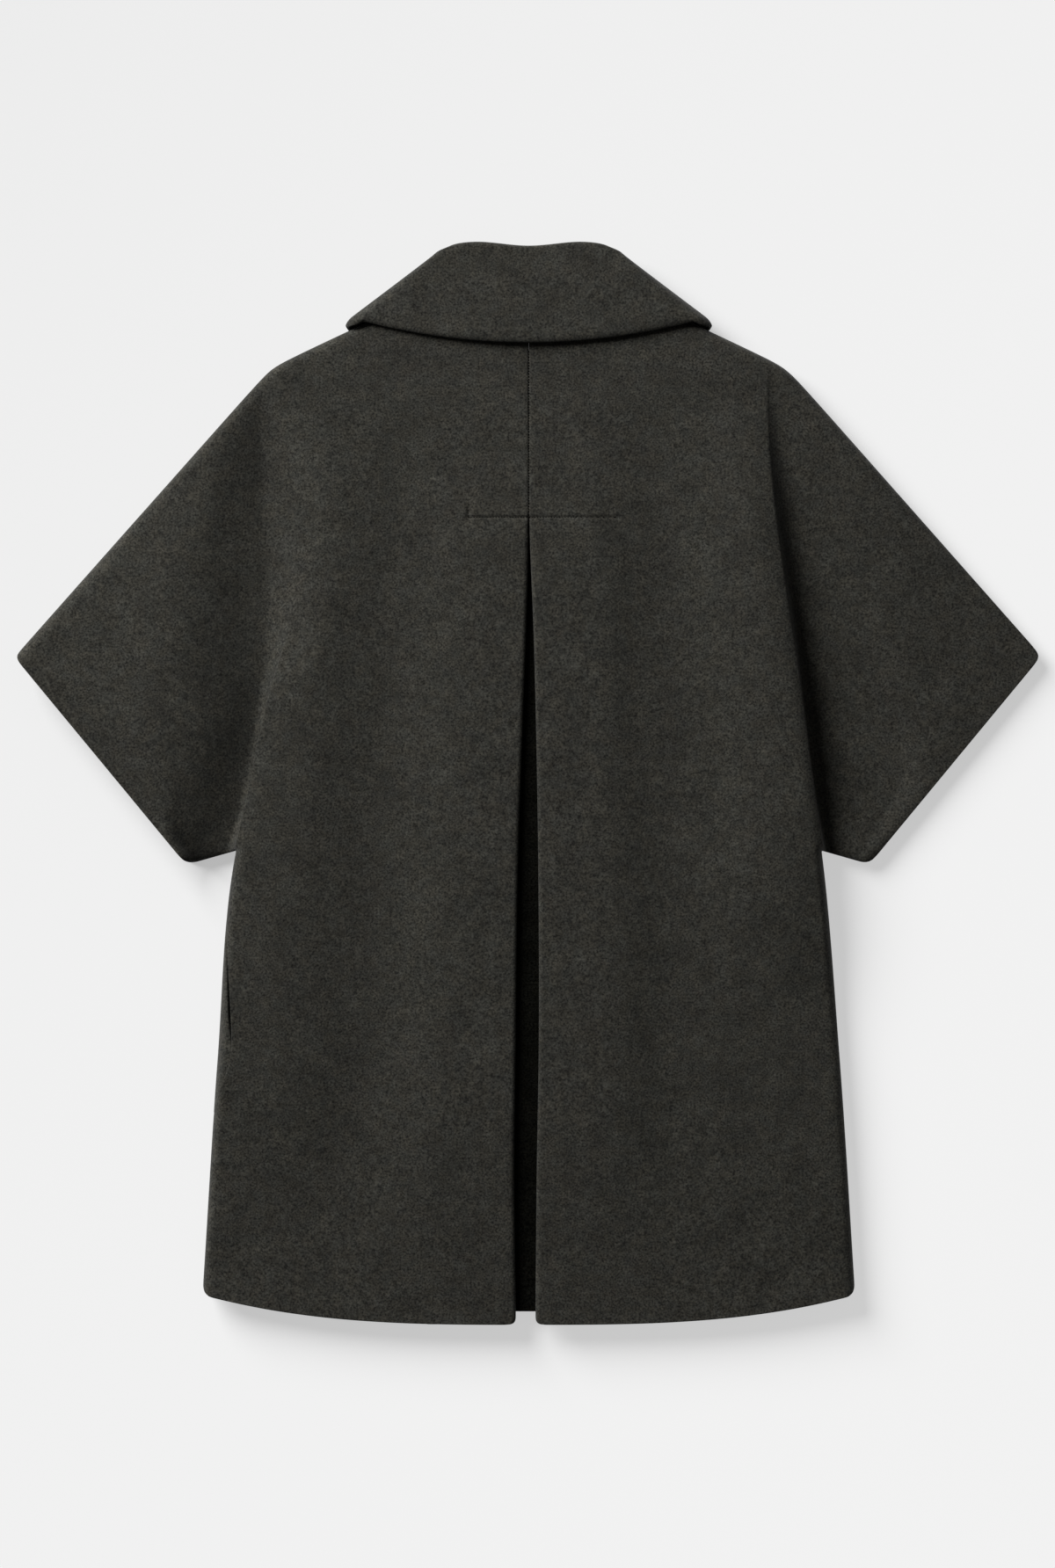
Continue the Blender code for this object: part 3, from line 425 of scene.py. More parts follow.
def body_plan(half, u, v, inner_x, neck_middle_y, hem_middle_y):
    """The body of a panel, from its inner edge to the fold or side seam, and from the neck to the hem."""
    top_end = edge_point(half, np.zeros(1))[0]
    inner_top_x, inner_foot_x = float(inner_x(BACK_NECK_Y)), float(inner_x(hem_middle_y))
    inner_top_y = neck_y(inner_top_x, neck_middle_y)

    def left(share):
        y = mix(inner_top_y, hem_middle_y, share)
        return spot(inner_x(y), y)

    def top(share):
        x = mix(inner_top_x, top_end[0], share)
        return spot(x, np.where(x < NECK_HALF, neck_y(x, neck_middle_y), overarm_y(x)))

    def bottom(share):
        x = mix(inner_foot_x, SIDE_HEM[0], share)
        return spot(x, hem_y(x, hem_middle_y))

    return side_corner_rounded(coons(u, v, left, lambda share: edge_point(half, share), top, bottom))


def sleeve_plan(half, s, v):
    """The sleeve of a panel, from the fold line out to its hem, and from the overarm to the underarm."""
    start_x = half.edge[0].x

    def left(share):
        return edge_point(half, share * underarm_share(half))

    def top(share):
        x = mix(start_x, SLEEVE_TIP[0], share)
        return eased(spot(x, overarm_y(x)), SLEEVE_AT, SLEEVE_TIP, SLEEVE_HEEL)

    def right(share):
        points = mix(SLEEVE_TIP, SLEEVE_HEEL, share[..., None])
        points = eased(points, SLEEVE_HEEL, SLEEVE_TIP, SLEEVE_AT)
        return eased(points, SLEEVE_TIP, SLEEVE_HEEL, UNDERARM)

    def bottom(share):
        return eased(mix(UNDERARM, SLEEVE_HEEL, share[..., None]), UNDERARM, SLEEVE_HEEL, SLEEVE_TIP)

    return coons(s, np.minimum(v / underarm_share(half), 1.0), left, right, top, bottom)


def seam_lines(half):
    """The overarm seam, and the seam from the sleeve's heel by the underarm to the hem."""
    x = np.linspace(NECK_HALF, SLEEVE_TIP[0], SEAM_STEPS)
    side = edge_point(half, np.linspace(underarm_share(half), 1.0, SEAM_STEPS))
    return spot(x, overarm_y(x)), np.vstack((SLEEVE_HEEL, side))


def distance(points, line):
    """How far points are from a line of straight stretches."""
    nearest = np.full(points.shape[:-1], np.inf)
    for start, end in zip(line, line[1:]):
        step = end - start
        share = np.clip((points - start) @ step / (step @ step), 0.0, 1.0)
        nearest = np.minimum(nearest, np.linalg.norm(points - start - share[..., None] * step, axis=-1))
    return nearest


def rolled(raw, points, half, gap):
    """Heights carried down, or up, to the nearest seam on a quarter round."""
    base = read(SEAM_LEVELS, "height", points[..., 0], along="x") + gap
    reach = np.minimum(*(distance(points, line) for line in seam_lines(half)))
    return base + (raw - base) * quarter(reach / EDGE_ROLL)


def crease_height(creases, x, y):
    """Soft ridges and troughs, each fading out along its length and to its sides."""
    height = np.zeros(np.broadcast(x, y).shape)
    for crease in creases:
        turn = math.radians(crease.turn)
        along = (x - crease.x) * math.sin(turn) + (y - crease.y) * math.cos(turn)
        across = (x - crease.x) * math.cos(turn) - (y - crease.y) * math.sin(turn)
        fade = 1.0 - smooth(np.abs(along) / crease.half_length)
        height += crease.height * fade * (1.0 - smooth(np.abs(across) / crease.half_width))
    return height


def body_top(x, y):
    """Height of the back's face, with its soft swells and creases, at places on the coat."""
    height = read(BODY_LEVELS, "height", y)
    for swell in SWELLS:
        down = np.clip((swell.y_top - y) / (swell.y_top - swell.y_foot), 0.0, 1.0)
        left, right = mix(swell.left_top, swell.left_foot, down), mix(swell.right_top, swell.right_foot, down)
        across = smooth((x - left) / swell.side) * smooth((right - x) / swell.side)
        fade = smooth(down / SWELL_ENDS) * smooth((1.0 - down) / SWELL_ENDS)
        height = height + swell.height * fade * across
    return height + crease_height(BACK_CREASES, x, y)


def stitched_groove(reach):
    """The cloth pulled down along a row of stitches and puffed a little on both sides of it."""
    puff = BAR_PUFF * np.exp(-(((np.abs(reach) - BAR_PUFF_AT) / BAR_PUFF_HALF) ** 2))
    return puff - BAR_DIP * np.exp(-((reach / BAR_HALF) ** 2))


def bar_height(x, y):
    """What the stitched bar and its upright end add to the face's height."""
    inside = smooth((x - BAR_LEFT) / BAR_END_FADE + 1.0) * smooth((BAR_RIGHT - x) / BAR_END_FADE)
    up = (y - BAR_Y) / BAR_TICK
    upright = smooth(up / BAR_TICK_FADE + 1.0) * smooth((1.0 - up) / BAR_TICK_FADE)
    across = stitched_groove(x - BAR_LEFT) * upright
    return np.minimum(stitched_groove(y - BAR_Y) * inside, across) + np.maximum(across, 0.0)


def pocket_gape(half, y):
    if half.sign > 0:
        return np.zeros_like(y)
    inside = (y > POCKET_ROWS[-1].y) & (y < POCKET_ROWS[0].y)
    return np.where(inside, read(POCKET_ROWS, "gape", y), 0.0)


def mouth(half, y):
    """Where the pleat's edge, or above it the centre-back seam, lies from the centre line."""
    corner = PLEAT_CORNER * (1.0 - quarter((y - BACK_HEM_Y) / PLEAT_CORNER))
    return np.where(y < PLEAT_TOP_Y, read(PLEAT_ROWS, half.name, y) + corner, SEAM_MEET)


def pick(piece):
    """Makes one piece the only one selected and the active one."""
    bpy.ops.object.select_all(action="DESELECT")
    piece.select_set(True)
    bpy.context.view_layer.objects.active = piece


def cloth_grid(name, points, kept):
    """A grid whose points are drawn to their places, with the faces that the cut leaves out deleted."""
    rows, columns = points.shape[:2]
    bpy.ops.object.select_all(action="DESELECT")
    bpy.ops.mesh.primitive_grid_add(x_subdivisions=columns - 1, y_subdivisions=rows - 1, size=1.0)
    piece = bpy.context.active_object
    piece.name = piece.data.name = name
    bpy.ops.object.mode_set(mode="EDIT")
    bpy.ops.mesh.select_mode(type="FACE")
    bpy.ops.mesh.select_all(action="DESELECT")
    bpy.ops.object.mode_set(mode="OBJECT")
    piece.data.vertices.foreach_set("co", points.reshape(-1))
    piece.data.polygons.foreach_set("select", ~kept.reshape(-1))
    bpy.ops.object.mode_set(mode="EDIT")
    bpy.ops.mesh.delete(type="FACE")
    bpy.ops.object.mode_set(mode="OBJECT")
    return piece


def whole(points):
    return np.ones((points.shape[0] - 1, points.shape[1] - 1), dtype=bool)


def give_wall(piece, thickness):
    """Turns a sheet into a wall of cloth with softly rounded edges."""
    pick(piece)
    wall = piece.modifiers.new("wall", "SOLIDIFY")
    wall.thickness = thickness
    wall.offset = -1.0
    soft = piece.modifiers.new("soft", "SUBSURF")
    soft.levels = soft.render_levels = 1
    for modifier in (wall.name, soft.name):
        bpy.ops.object.modifier_apply(modifier=modifier)
    bpy.ops.object.shade_smooth()
    return piece


def side_panel(name, half, points, kept, outward_up, thickness=CLOTH):
    """A panel on its own side of the coat, with its outer face looking up or down."""
    points = points * (half.sign, 1.0, 1.0)
    if (half.sign > 0) != outward_up:
        points, kept = points[:, ::-1], kept[:, ::-1]
    return give_wall(cloth_grid(name + half.name, points, kept), thickness)


class BackRows:
    """The rows of a back, from the hem up, with what its table, its outline and its pleat say at each.

    start is the pleat's edge or the seam above it, and width runs from there to the fold or the side seam.
    The face ends at a crest, at crest_u of the width and crest_top high, and falls by drop to the dip.
    """

    def __init__(self, half):
        length = BACK_NECK_Y - BACK_HEM_Y
        self.half = half
        self.under = underarm_share(half)
        self.pleat = (BACK_NECK_Y - PLEAT_TOP_Y) / length
        landmarks = (
            (0.0, scaled(SEAM_FINE, length)),
            (self.pleat, scaled(BAR_FINE, length)),
            ((BACK_NECK_Y - BAR_Y) / length, ()),
            (self.under, scaled(UNDERARM_FINE, length)),
            (1.0, scaled(CORNER_FINE, length)),
        )
        self.v = graded(landmarks, BACK_STEP / length)[::-1, None]
        self.edge = edge_point(half, self.v)
        edge_y = self.edge[..., 1]
        self.row = Edge(*(read(half.edge, column, edge_y) for column in Edge._fields))
        self.gape = pocket_gape(half, edge_y)
        self.start = self.plan(np.zeros(1))
        self.width = self.edge[..., 0] - self.start[..., 0]
        self.crest_u = 1.0 - (self.row.roll + self.gape) / self.width
        self.crest_top = self.top(self.plan(self.crest_u))
        below = smooth((UNDERARM[1] - edge_y) / UNDERARM_FADE)
        self.drop = (self.crest_top - self.row.low) * (1.0 - below)

    def plan(self, u):
        return body_plan(self.half, u, self.v, lambda y: mouth(self.half, y), BACK_NECK_Y, BACK_HEM_Y)

    def top(self, points):
        return body_top(self.half.sign * points[..., 0], points[..., 1])

    def face(self, points):
        return self.top(points) + bar_height(self.half.sign * points[..., 0], points[..., 1])


def pleat_return(back):
    """Columns of the pleat's return, from its inner edge out, and of the underside of its pressed edge."""
    depth = read(PLEAT_ROWS, "depth", back.start[..., 1])
    reach = mix(depth, PLEAT_REACH, np.linspace(0.0, 1.0, RETURN_STEPS, endpoint=False))
    points = back.start + spot(reach, 0.0)
    columns = [(points, back.top(points) - 2 * PLEAT_ROUND)]
    for angle in EDGE_TURNS[:0:-1]:
        points = back.start + np.array((PLEAT_REACH * (1.0 - math.sin(angle)), 0.0))
        columns.append((points, back.top(points) - PLEAT_ROUND * (1.0 + math.cos(angle))))
    return columns


def pressed_edge(back):
    """Columns over the pressed edge of the pleat, or over the turn of the seam above it."""
    pleated = smooth((PLEAT_TOP_Y - back.start[..., 1]) / PLEAT_EASE)
    columns = []
    for angle in EDGE_TURNS:
        reach = PLEAT_REACH * (1.0 - math.sin(angle))
        fall = 1.0 - math.cos(angle)
        points = back.plan(reach / back.width)
        seam_sink = SEAM_DIP * fall + SEAM_TURN * (1.0 - smooth(reach / SEAM_TURN_REACH))
        columns.append((points, back.face(points) - mix(seam_sink, PLEAT_ROUND * fall, pleated)))
    return columns


def back_face(back):
    """Columns of the face, out to the crest of the fold or the side, with rows that follow the bar."""
    beside_bar = np.argmin(np.abs(back.start[:, 0, 1] - BAR_Y - BAR_TICK / 2))
    face_width = (back.crest_u * back.width)[beside_bar, 0] - PLEAT_REACH
    tick = (-BAR_LEFT - back.start[beside_bar, 0, 0] - PLEAT_REACH) / face_width
    shares = graded(((0.0, ()), (tick, scaled(BAR_FINE, face_width)), (1.0, ())), BACK_STEP / face_width)
    points = back.plan(mix(PLEAT_REACH / back.width, back.crest_u, shares))
    lined = 1.0 - smooth((points[..., 0] - BAR_STRAIGHT) / BAR_STRAIGHT_FADE)
    lined = lined * (1.0 - smooth(np.abs(back.start[..., 1] - PLEAT_TOP_Y) / BAR_ROWS_FADE))
    points[..., 1] = mix(points[..., 1], back.start[..., 1], lined)
    return [(points, back.face(points))]


def back_roll(back):
    """Columns that roll down from the crest to the fold's edge, and lower down to the side seam."""
    reach = back.row.roll * (1.0 - ROLL_COLUMNS) + back.gape
    fall = back.row.drop * ROLL_COLUMNS ** back.half.roll_power
    return [(back.plan(1.0 - reach / back.width), back.crest_top - back.drop * fall)]


def back_sleeve(back):
    """Columns of the fold under its edge, of the bank up from its floor and of the sleeve to its hem."""
    half, row, v = back.half, back.row, back.v
    out = np.linalg.norm(sleeve_plan(half, np.ones(1), v) - back.edge, axis=-1)
    at = np.linspace(0.0, 1.0, FOLD_STEPS)[1:]
    dip, lap, fall = (read(half.fold, column, at, along="at") for column in ("dip", "lap", "drop"))
    offset = dip * row.dip - lap * np.maximum(row.lap, 0.0)
    fold = sleeve_plan(half, offset / out, v), back.crest_top - back.drop * mix(row.drop, 1.0, fall)

    share = np.linspace(0.0, 1.0, BANK_STEPS)[1:]
    points = sleeve_plan(half, (row.dip + share * row.bank) / out, v)
    bank = points, mix(row.low, row.arm, bank_rise(share))

    share = graded(((1.0, scaled(HEM_FINE, SLEEVE_SPAN)),), BACK_STEP / SLEEVE_SPAN)[1:]
    points = sleeve_plan(half, mix((row.dip + row.bank) / out, 1.0, share), v)
    level = mix(row.arm, half.cuff, smooth(share)) + SLEEVE_ARCH * np.sin(np.pi * share)
    creases = crease_height(BACK_CREASES, half.sign * points[..., 0], points[..., 1])
    sleeve = points, level + creases * smooth(share / SLEEVE_CREASE_FADE)
    return [fold, bank, sleeve]


def back_panel(half):
    back = BackRows(half)
    turned_under = pleat_return(back)
    body = turned_under + pressed_edge(back) + back_face(back) + back_roll(back)
    columns = body + back_sleeve(back)
    plan = np.concatenate([points for points, _ in columns], axis=1)
    raw = np.concatenate([np.broadcast_to(height, points.shape[:2]) for points, height in columns], axis=1)
    points = np.dstack((plan, rolled(raw, plan, half, SEAM_GAP / 2)))
    return_count, body_count = (sum(points.shape[1] for points, _ in part) for part in (turned_under, body))
    kept = whole(points)
    kept[back.v[:-1, 0] <= back.pleat + SAME_ROW, :return_count] = False
    kept[back.v[:-1, 0] > back.under + SAME_ROW, body_count - 1:] = False
    return side_panel("cloth_back_", half, points, kept, outward_up=True)


def front_floor(half, x, y):
    """The fronts lie on the floor, over the collar's front half, and the left one over the right."""
    over_collar = COLLAR_REST * smooth((y - COLLAR_REST_Y) / COLLAR_REST_EASE)
    over_collar = over_collar * (1.0 - smooth((np.abs(x) - COLLAR_REST_X) / COLLAR_REST_FADE))
    if half.sign < 0:
        over_collar = over_collar + (CLOTH + LAYER_GAP / 2) * smooth((NECK_HALF - x) / FRONT_LAP_EASE)
    return over_collar + crease_height(FRONT_CREASES, x, y)


def front_panel(half):
    under, length = underarm_share(half), BACK_NECK_Y - FRONT_HEM_Y
    landmarks = (
        (0.0, scaled(SEAM_FINE, length)),
        (under, scaled(UNDERARM_FINE, length)),
        (1.0, scaled(CORNER_FINE, length)),
    )
    v = graded(landmarks, FRONT_STEP / length)[::-1, None]
    body_width, sleeve_width = half.edge[0].x + FRONT_LAP, SLEEVE_TIP[0] - half.edge[0].x
    across = ((0.0, scaled(HEM_FINE, body_width)), (1.0, scaled(SEAM_FINE, body_width)))
    u = graded(across, FRONT_STEP / body_width)
    body = body_plan(half, u, v, lambda y: np.full_like(y, -FRONT_LAP), FRONT_NECK_Y, FRONT_HEM_Y)
    across = ((0.0, scaled(SEAM_FINE[::2], sleeve_width)), (1.0, scaled(HEM_FINE, sleeve_width)))
    s = graded(across, FRONT_STEP / sleeve_width)[1:]
    plan = np.concatenate((body, sleeve_plan(half, s, v)), axis=1)
    raw = front_floor(half, plan[..., 0], plan[..., 1])
    points = np.dstack((plan, rolled(raw, plan, half, -SEAM_GAP / 2)))
    kept = whole(points)
    kept[v[:-1, 0] > under + SAME_ROW, len(u) - 1:] = False
    return side_panel("cloth_front_", half, points, kept, outward_up=False)


def pleat_underlay():
    length = PLEAT_TOP_Y - UNDERLAY_HEM_Y
    share = graded(((0.0, scaled(HEM_FINE, length)), (1.0, scaled(HEM_FINE, length))), UNDERLAY_STEP / length)
    y = mix(UNDERLAY_HEM_Y, PLEAT_TOP_Y, share)[:, None]
    depth = read(PLEAT_ROWS, "depth", y)
    left, right = -read(PLEAT_ROWS, "left", y) - depth, read(PLEAT_ROWS, "right", y) + depth
    fine = scaled(HEM_FINE, UNDERLAY_CUT.width)
    across = graded(((0.0, fine), (1.0, fine)), UNDERLAY_STEP / UNDERLAY_CUT.width)
    plan = spot(mix(left, right, across), y)
    height = body_top(plan[..., 0], plan[..., 1]) - 2 * PLEAT_ROUND - LAYER_GAP
    points = np.dstack((plan, height))
    return give_wall(cloth_grid("cloth_pleat_underlay", points, whole(points)), CLOTH)


def pocket_mouth(half):
    """The strip of the pocket in the side seam, which dives from the seam to under the back's edge."""
    y = np.linspace(POCKET_ROWS[-1].y + POCKET_END, POCKET_ROWS[0].y - POCKET_END, POCKET_ROW_COUNT)
    edge = edge_point(half, (half.edge[0].y - y) / (half.edge[0].y - SIDE_HEM[1]))
    reach = POCKET_REACH * np.linspace(1.0, 0.0, POCKET_COLUMNS)
    plan = edge[:, None] - spot(reach, 0.0)
    gape = pocket_gape(half, y)[:, None]
    open_share = smooth((y - POCKET_TUCK_Y) / POCKET_TUCK_FADE)[:, None]
    lip = gape + mix(POCKET_TUCK, -POCKET_CLEAR, open_share)
    dive_width = np.clip(POCKET_DIVE_SHARE * gape, POCKET_DIVE_LEAST, POCKET_DIVE)
    dive = smooth((reach - lip) / dive_width + 1.0)
    sink = mix(POCKET_SINK, CLOTH + LAYER_GAP, dive)
    raw = body_top(half.sign * plan[..., 0], plan[..., 1]) - sink
    points = np.dstack((plan, rolled(raw, plan, half, SEAM_GAP / 2)))
    return side_panel("cloth_pocket_", half, points, whole(points), outward_up=True, thickness=POCKET_CLOTH)


def one_stitch():
    """A bead of thread drawn long, with both ends tucked into the cloth."""
    bpy.ops.object.select_all(action="DESELECT")
    bpy.ops.mesh.primitive_uv_sphere_add(segments=8, ring_count=6, radius=THREAD / 2)
    bead = bpy.context.active_object
    bpy.ops.object.mode_set(mode="EDIT")
    bpy.ops.transform.resize(value=(STITCH / THREAD, 1.0, 1.0))
    bpy.ops.mesh.select_all(action="DESELECT")
    bpy.ops.object.mode_set(mode="OBJECT")
    for point in bead.data.vertices:
        point.select = abs(point.co.x) > STITCH / 4
    bpy.ops.object.mode_set(mode="EDIT")
    bpy.ops.transform.translate(value=(0.0, 0.0, -THREAD / 2))
    bpy.ops.object.mode_set(mode="OBJECT")
    return bead


def stitches():
    """Rows of stitches: the bar, which thins out to the right, its upright end and the seam above it."""
    bar = np.arange(BAR_LEFT, BAR_FAINT, STITCH_PITCH)
    bar = np.append(bar, np.arange(BAR_FAINT, BAR_RIGHT, 2 * STITCH_PITCH))
    tick = np.arange(BAR_Y + STITCH_PITCH / 2, BAR_Y + BAR_TICK, STITCH_PITCH)
    seam = np.arange(BAR_Y + STITCH_PITCH, SEAM_STITCH_TOP, STITCH_PITCH)
    plan = np.vstack((
        spot(bar, BAR_Y + STITCH_WANDER * np.sin(BAR_UNEVEN * np.arange(len(bar)))),
        spot(BAR_LEFT + STITCH_WANDER * np.sin(TICK_UNEVEN * np.arange(len(tick))), tick),
        spot(0.0, seam),
    ))
    x, y = plan.T
    turns = np.where(np.arange(len(x)) < len(bar), 0.0, math.pi / 2)
    sunk = np.where(x == 0.0, SEAM_DIP + SEAM_TURN / 2, STITCH_SINK)
    first = one_stitch()
    rows = [first]
    for _ in x[1:]:
        copy = first.copy()
        copy.data = first.data.copy()
        bpy.context.collection.objects.link(copy)
        rows.append(copy)
    bpy.ops.object.select_all(action="DESELECT")
    for piece, place, turn in zip(rows, zip(x, y, body_top(x, y) + bar_height(x, y) - sunk), turns):
        piece.location = place
        piece.rotation_euler.z = turn
        piece.select_set(True)
    bpy.context.view_layer.objects.active = first
    bpy.ops.object.join()
    bpy.ops.object.transform_apply()
    bpy.ops.object.shade_smooth()
    first.name = first.data.name = "thread_stitches"
    return first


def beside(share):
    """How near places round the neck are to the collar's side: 1 on it, 0 a short way off."""
    return 1.0 - smooth((1.0 - share) / COLLAR_LIP_SHARE)


def collar_ring_y(ring, x, at_back):
    share = np.minimum(np.abs(x) / ring.half_width, 1.0)
    lip = ring.lip * beside(share)
    front = mix(ring.front_y, ring.back_side_y, share ** FRONT_RING_POWER)
    return np.where(at_back, mix(ring.back_y, ring.back_side_y, share ** ring.power), front) - lip


def collar_layer(ring_width, lift, y, turn):
    """Points of the collar's middle layer, and the way out from them, at turns round the neck."""
    around = np.sin(np.pi * turn)
    at_back = np.abs(turn) <= 0.5
    x = ring_width * around
    share = (ring_width - np.abs(x)) / EDGE_ROLL
    rise, aside = quarter(share), 1.0 - np.minimum(share, 1.0)
    z = mix(COLLAR_MID_LEVEL, np.where(at_back, COLLAR_BACK_LEVEL + lift, COLLAR_FRONT_LEVEL), rise)
    out_x = np.copysign(COLLAR_SIDE_NORMAL[0] * aside, around)
    out = np.stack((out_x, COLLAR_SIDE_NORMAL[1] * aside, np.where(at_back, rise, -rise)), axis=-1)
    return np.stack(np.broadcast_arrays(x, y, z), axis=-1), out


def collar():
    """Sections round the neck, from the fall's edge over the roll and down the stand to the neck seam."""
    around = np.linspace(-1.0, 1.0, COLLAR_SECTIONS)
    turn = COLLAR_END * (around - COLLAR_SIDE_PACK * np.sin(4.0 * np.pi * around) / (2.0 * np.pi))
    at_back = np.abs(turn) <= 0.5
    half_layers = COLLAR_LAYERS / 2
    roll_x = ROLL_RING.half_width * np.sin(np.pi * turn)
    dip = COLLAR_DIP * (1.0 - smooth(np.abs(roll_x) / COLLAR_DIP_HALF))
    roll_y = collar_ring_y(ROLL_RING, roll_x, at_back) - np.where(at_back, dip, 0.0)
    fall_y = collar_ring_y(FALL_RING, FALL_RING.half_width * np.sin(np.pi * turn), at_back)
    neck_x = np.abs(NECK_HALF * np.sin(np.pi * turn))
    seam_y = np.where(at_back, neck_y(neck_x, BACK_NECK_Y), neck_y(neck_x, FRONT_NECK_Y)) + SEAM_GAP

    lift = mix(COLLAR_EDGE_LIFT, COLLAR_SIDE_LIFT, np.abs(np.sin(np.pi * turn)))
    side = beside(np.abs(np.sin(np.pi * turn)))
    columns = []
    for share in graded(((0.0, ()), (1.0, FALL_FINE)), FALL_STEP)[::-1]:
        width = mix(ROLL_RING.half_width, FALL_RING.half_width, share)
        edge_turn = 1.0 - quarter((1.0 - share) / COLLAR_TURN_SHARE)
        y = mix(roll_y, fall_y, share) - COLLAR_SIDE_TURN * side * edge_turn
        points, out = collar_layer(width, lift * share - COLLAR_TURN * edge_turn, y, turn)
        columns.append(points + out * half_layers)
    middle, out = collar_layer(ROLL_RING.half_width, 0.0, roll_y, turn)
    fall_end, _ = collar_layer(FALL_RING.half_width, 0.0, fall_y, turn)
    square = (middle - fall_end) * (1.0, 1.0, 0.0)
    square = square / np.linalg.norm(square, axis=-1, keepdims=True)
    over = mix(np.array((0.0, 1.0, 0.0)), square, ROLL_LEAN)
    over = over / np.linalg.norm(over, axis=-1, keepdims=True)
    for angle in ROLL_TURNS:
        columns.append(middle + (over * math.cos(angle) + out * math.sin(angle)) * half_layers)
    for share in np.linspace(0.0, 1.0, STAND_STEPS):
        width = mix(ROLL_RING.half_width, NECK_HALF, share)
        points, out = collar_layer(width, 0.0, mix(roll_y, seam_y, share), turn)
        columns.append(points + out * (share, share, 0.0) * half_layers - out * half_layers)
    points = np.stack(columns, axis=0).transpose(1, 0, 2)[:, ::-1]
    return give_wall(cloth_grid("cloth_collar", points, whole(points)), COLLAR_CLOTH)


# Finish of the wool: its colours, and how many grains or blotches of each kind lie along a metre
WOOL = (0.0254, 0.0246, 0.0204)
WOOL_PALE = (0.090, 0.090, 0.084)
# The underlay's colour is painted shade: near black, for the deep shade inside the pleat's mouth
UNDERLAY_PAINTED_SHADE = (0.0038, 0.0038, 0.0031)
THREAD_COLOR = (0.0030, 0.0029, 0.0025)
ROUGHNESS, SPECULAR, SHEEN, SHEEN_ROUGHNESS = 0.95, 0.15, 0.08, 0.5
NAP_SCALE, NAP_DETAIL, NAP_BUMP, NAP_DEPTH = 640.0, 3.0, 0.45, 0.0006
NAP_LOW, NAP_DARK, NAP_HIGH, NAP_LIGHT = 0.30, 0.24, 0.70, 1.92
FIBRE_SCALE, FIBRE_DETAIL, FIBRE_CURL = 520.0, 2.0, 1.6
FIBRE_HALF, FIBRE_SHOW = 0.018, (0.55, 0.55, 0.55)
FIBRE_PATCH_SCALE, FIBRE_PATCH_EDGE, FIBRE_PATCH_FULL = 182.0, 0.52, 0.66

# Blotches of felt, of mottle and of tint, darker than the wool below low and lighter above high
Blotch = namedtuple("Blotch", "scale detail low dark high light")
BLOTCHES = (
    Blotch(scale=170.0, detail=3.0, low=0.30, dark=(0.76, 0.76, 0.76), high=0.70, light=(1.24, 1.24, 1.24)),
    Blotch(scale=40.0, detail=2.0, low=0.30, dark=(0.84, 0.84, 0.84), high=0.70, light=(1.16, 1.16, 1.16)),
    Blotch(scale=95.0, detail=1.0, low=0.35, dark=(1.03, 1.00, 0.96), high=0.65, light=(0.98, 1.00, 1.02)),
)
BLACK = (0.0, 0.0, 0.0)
WHITE = (1.0, 1.0, 1.0)


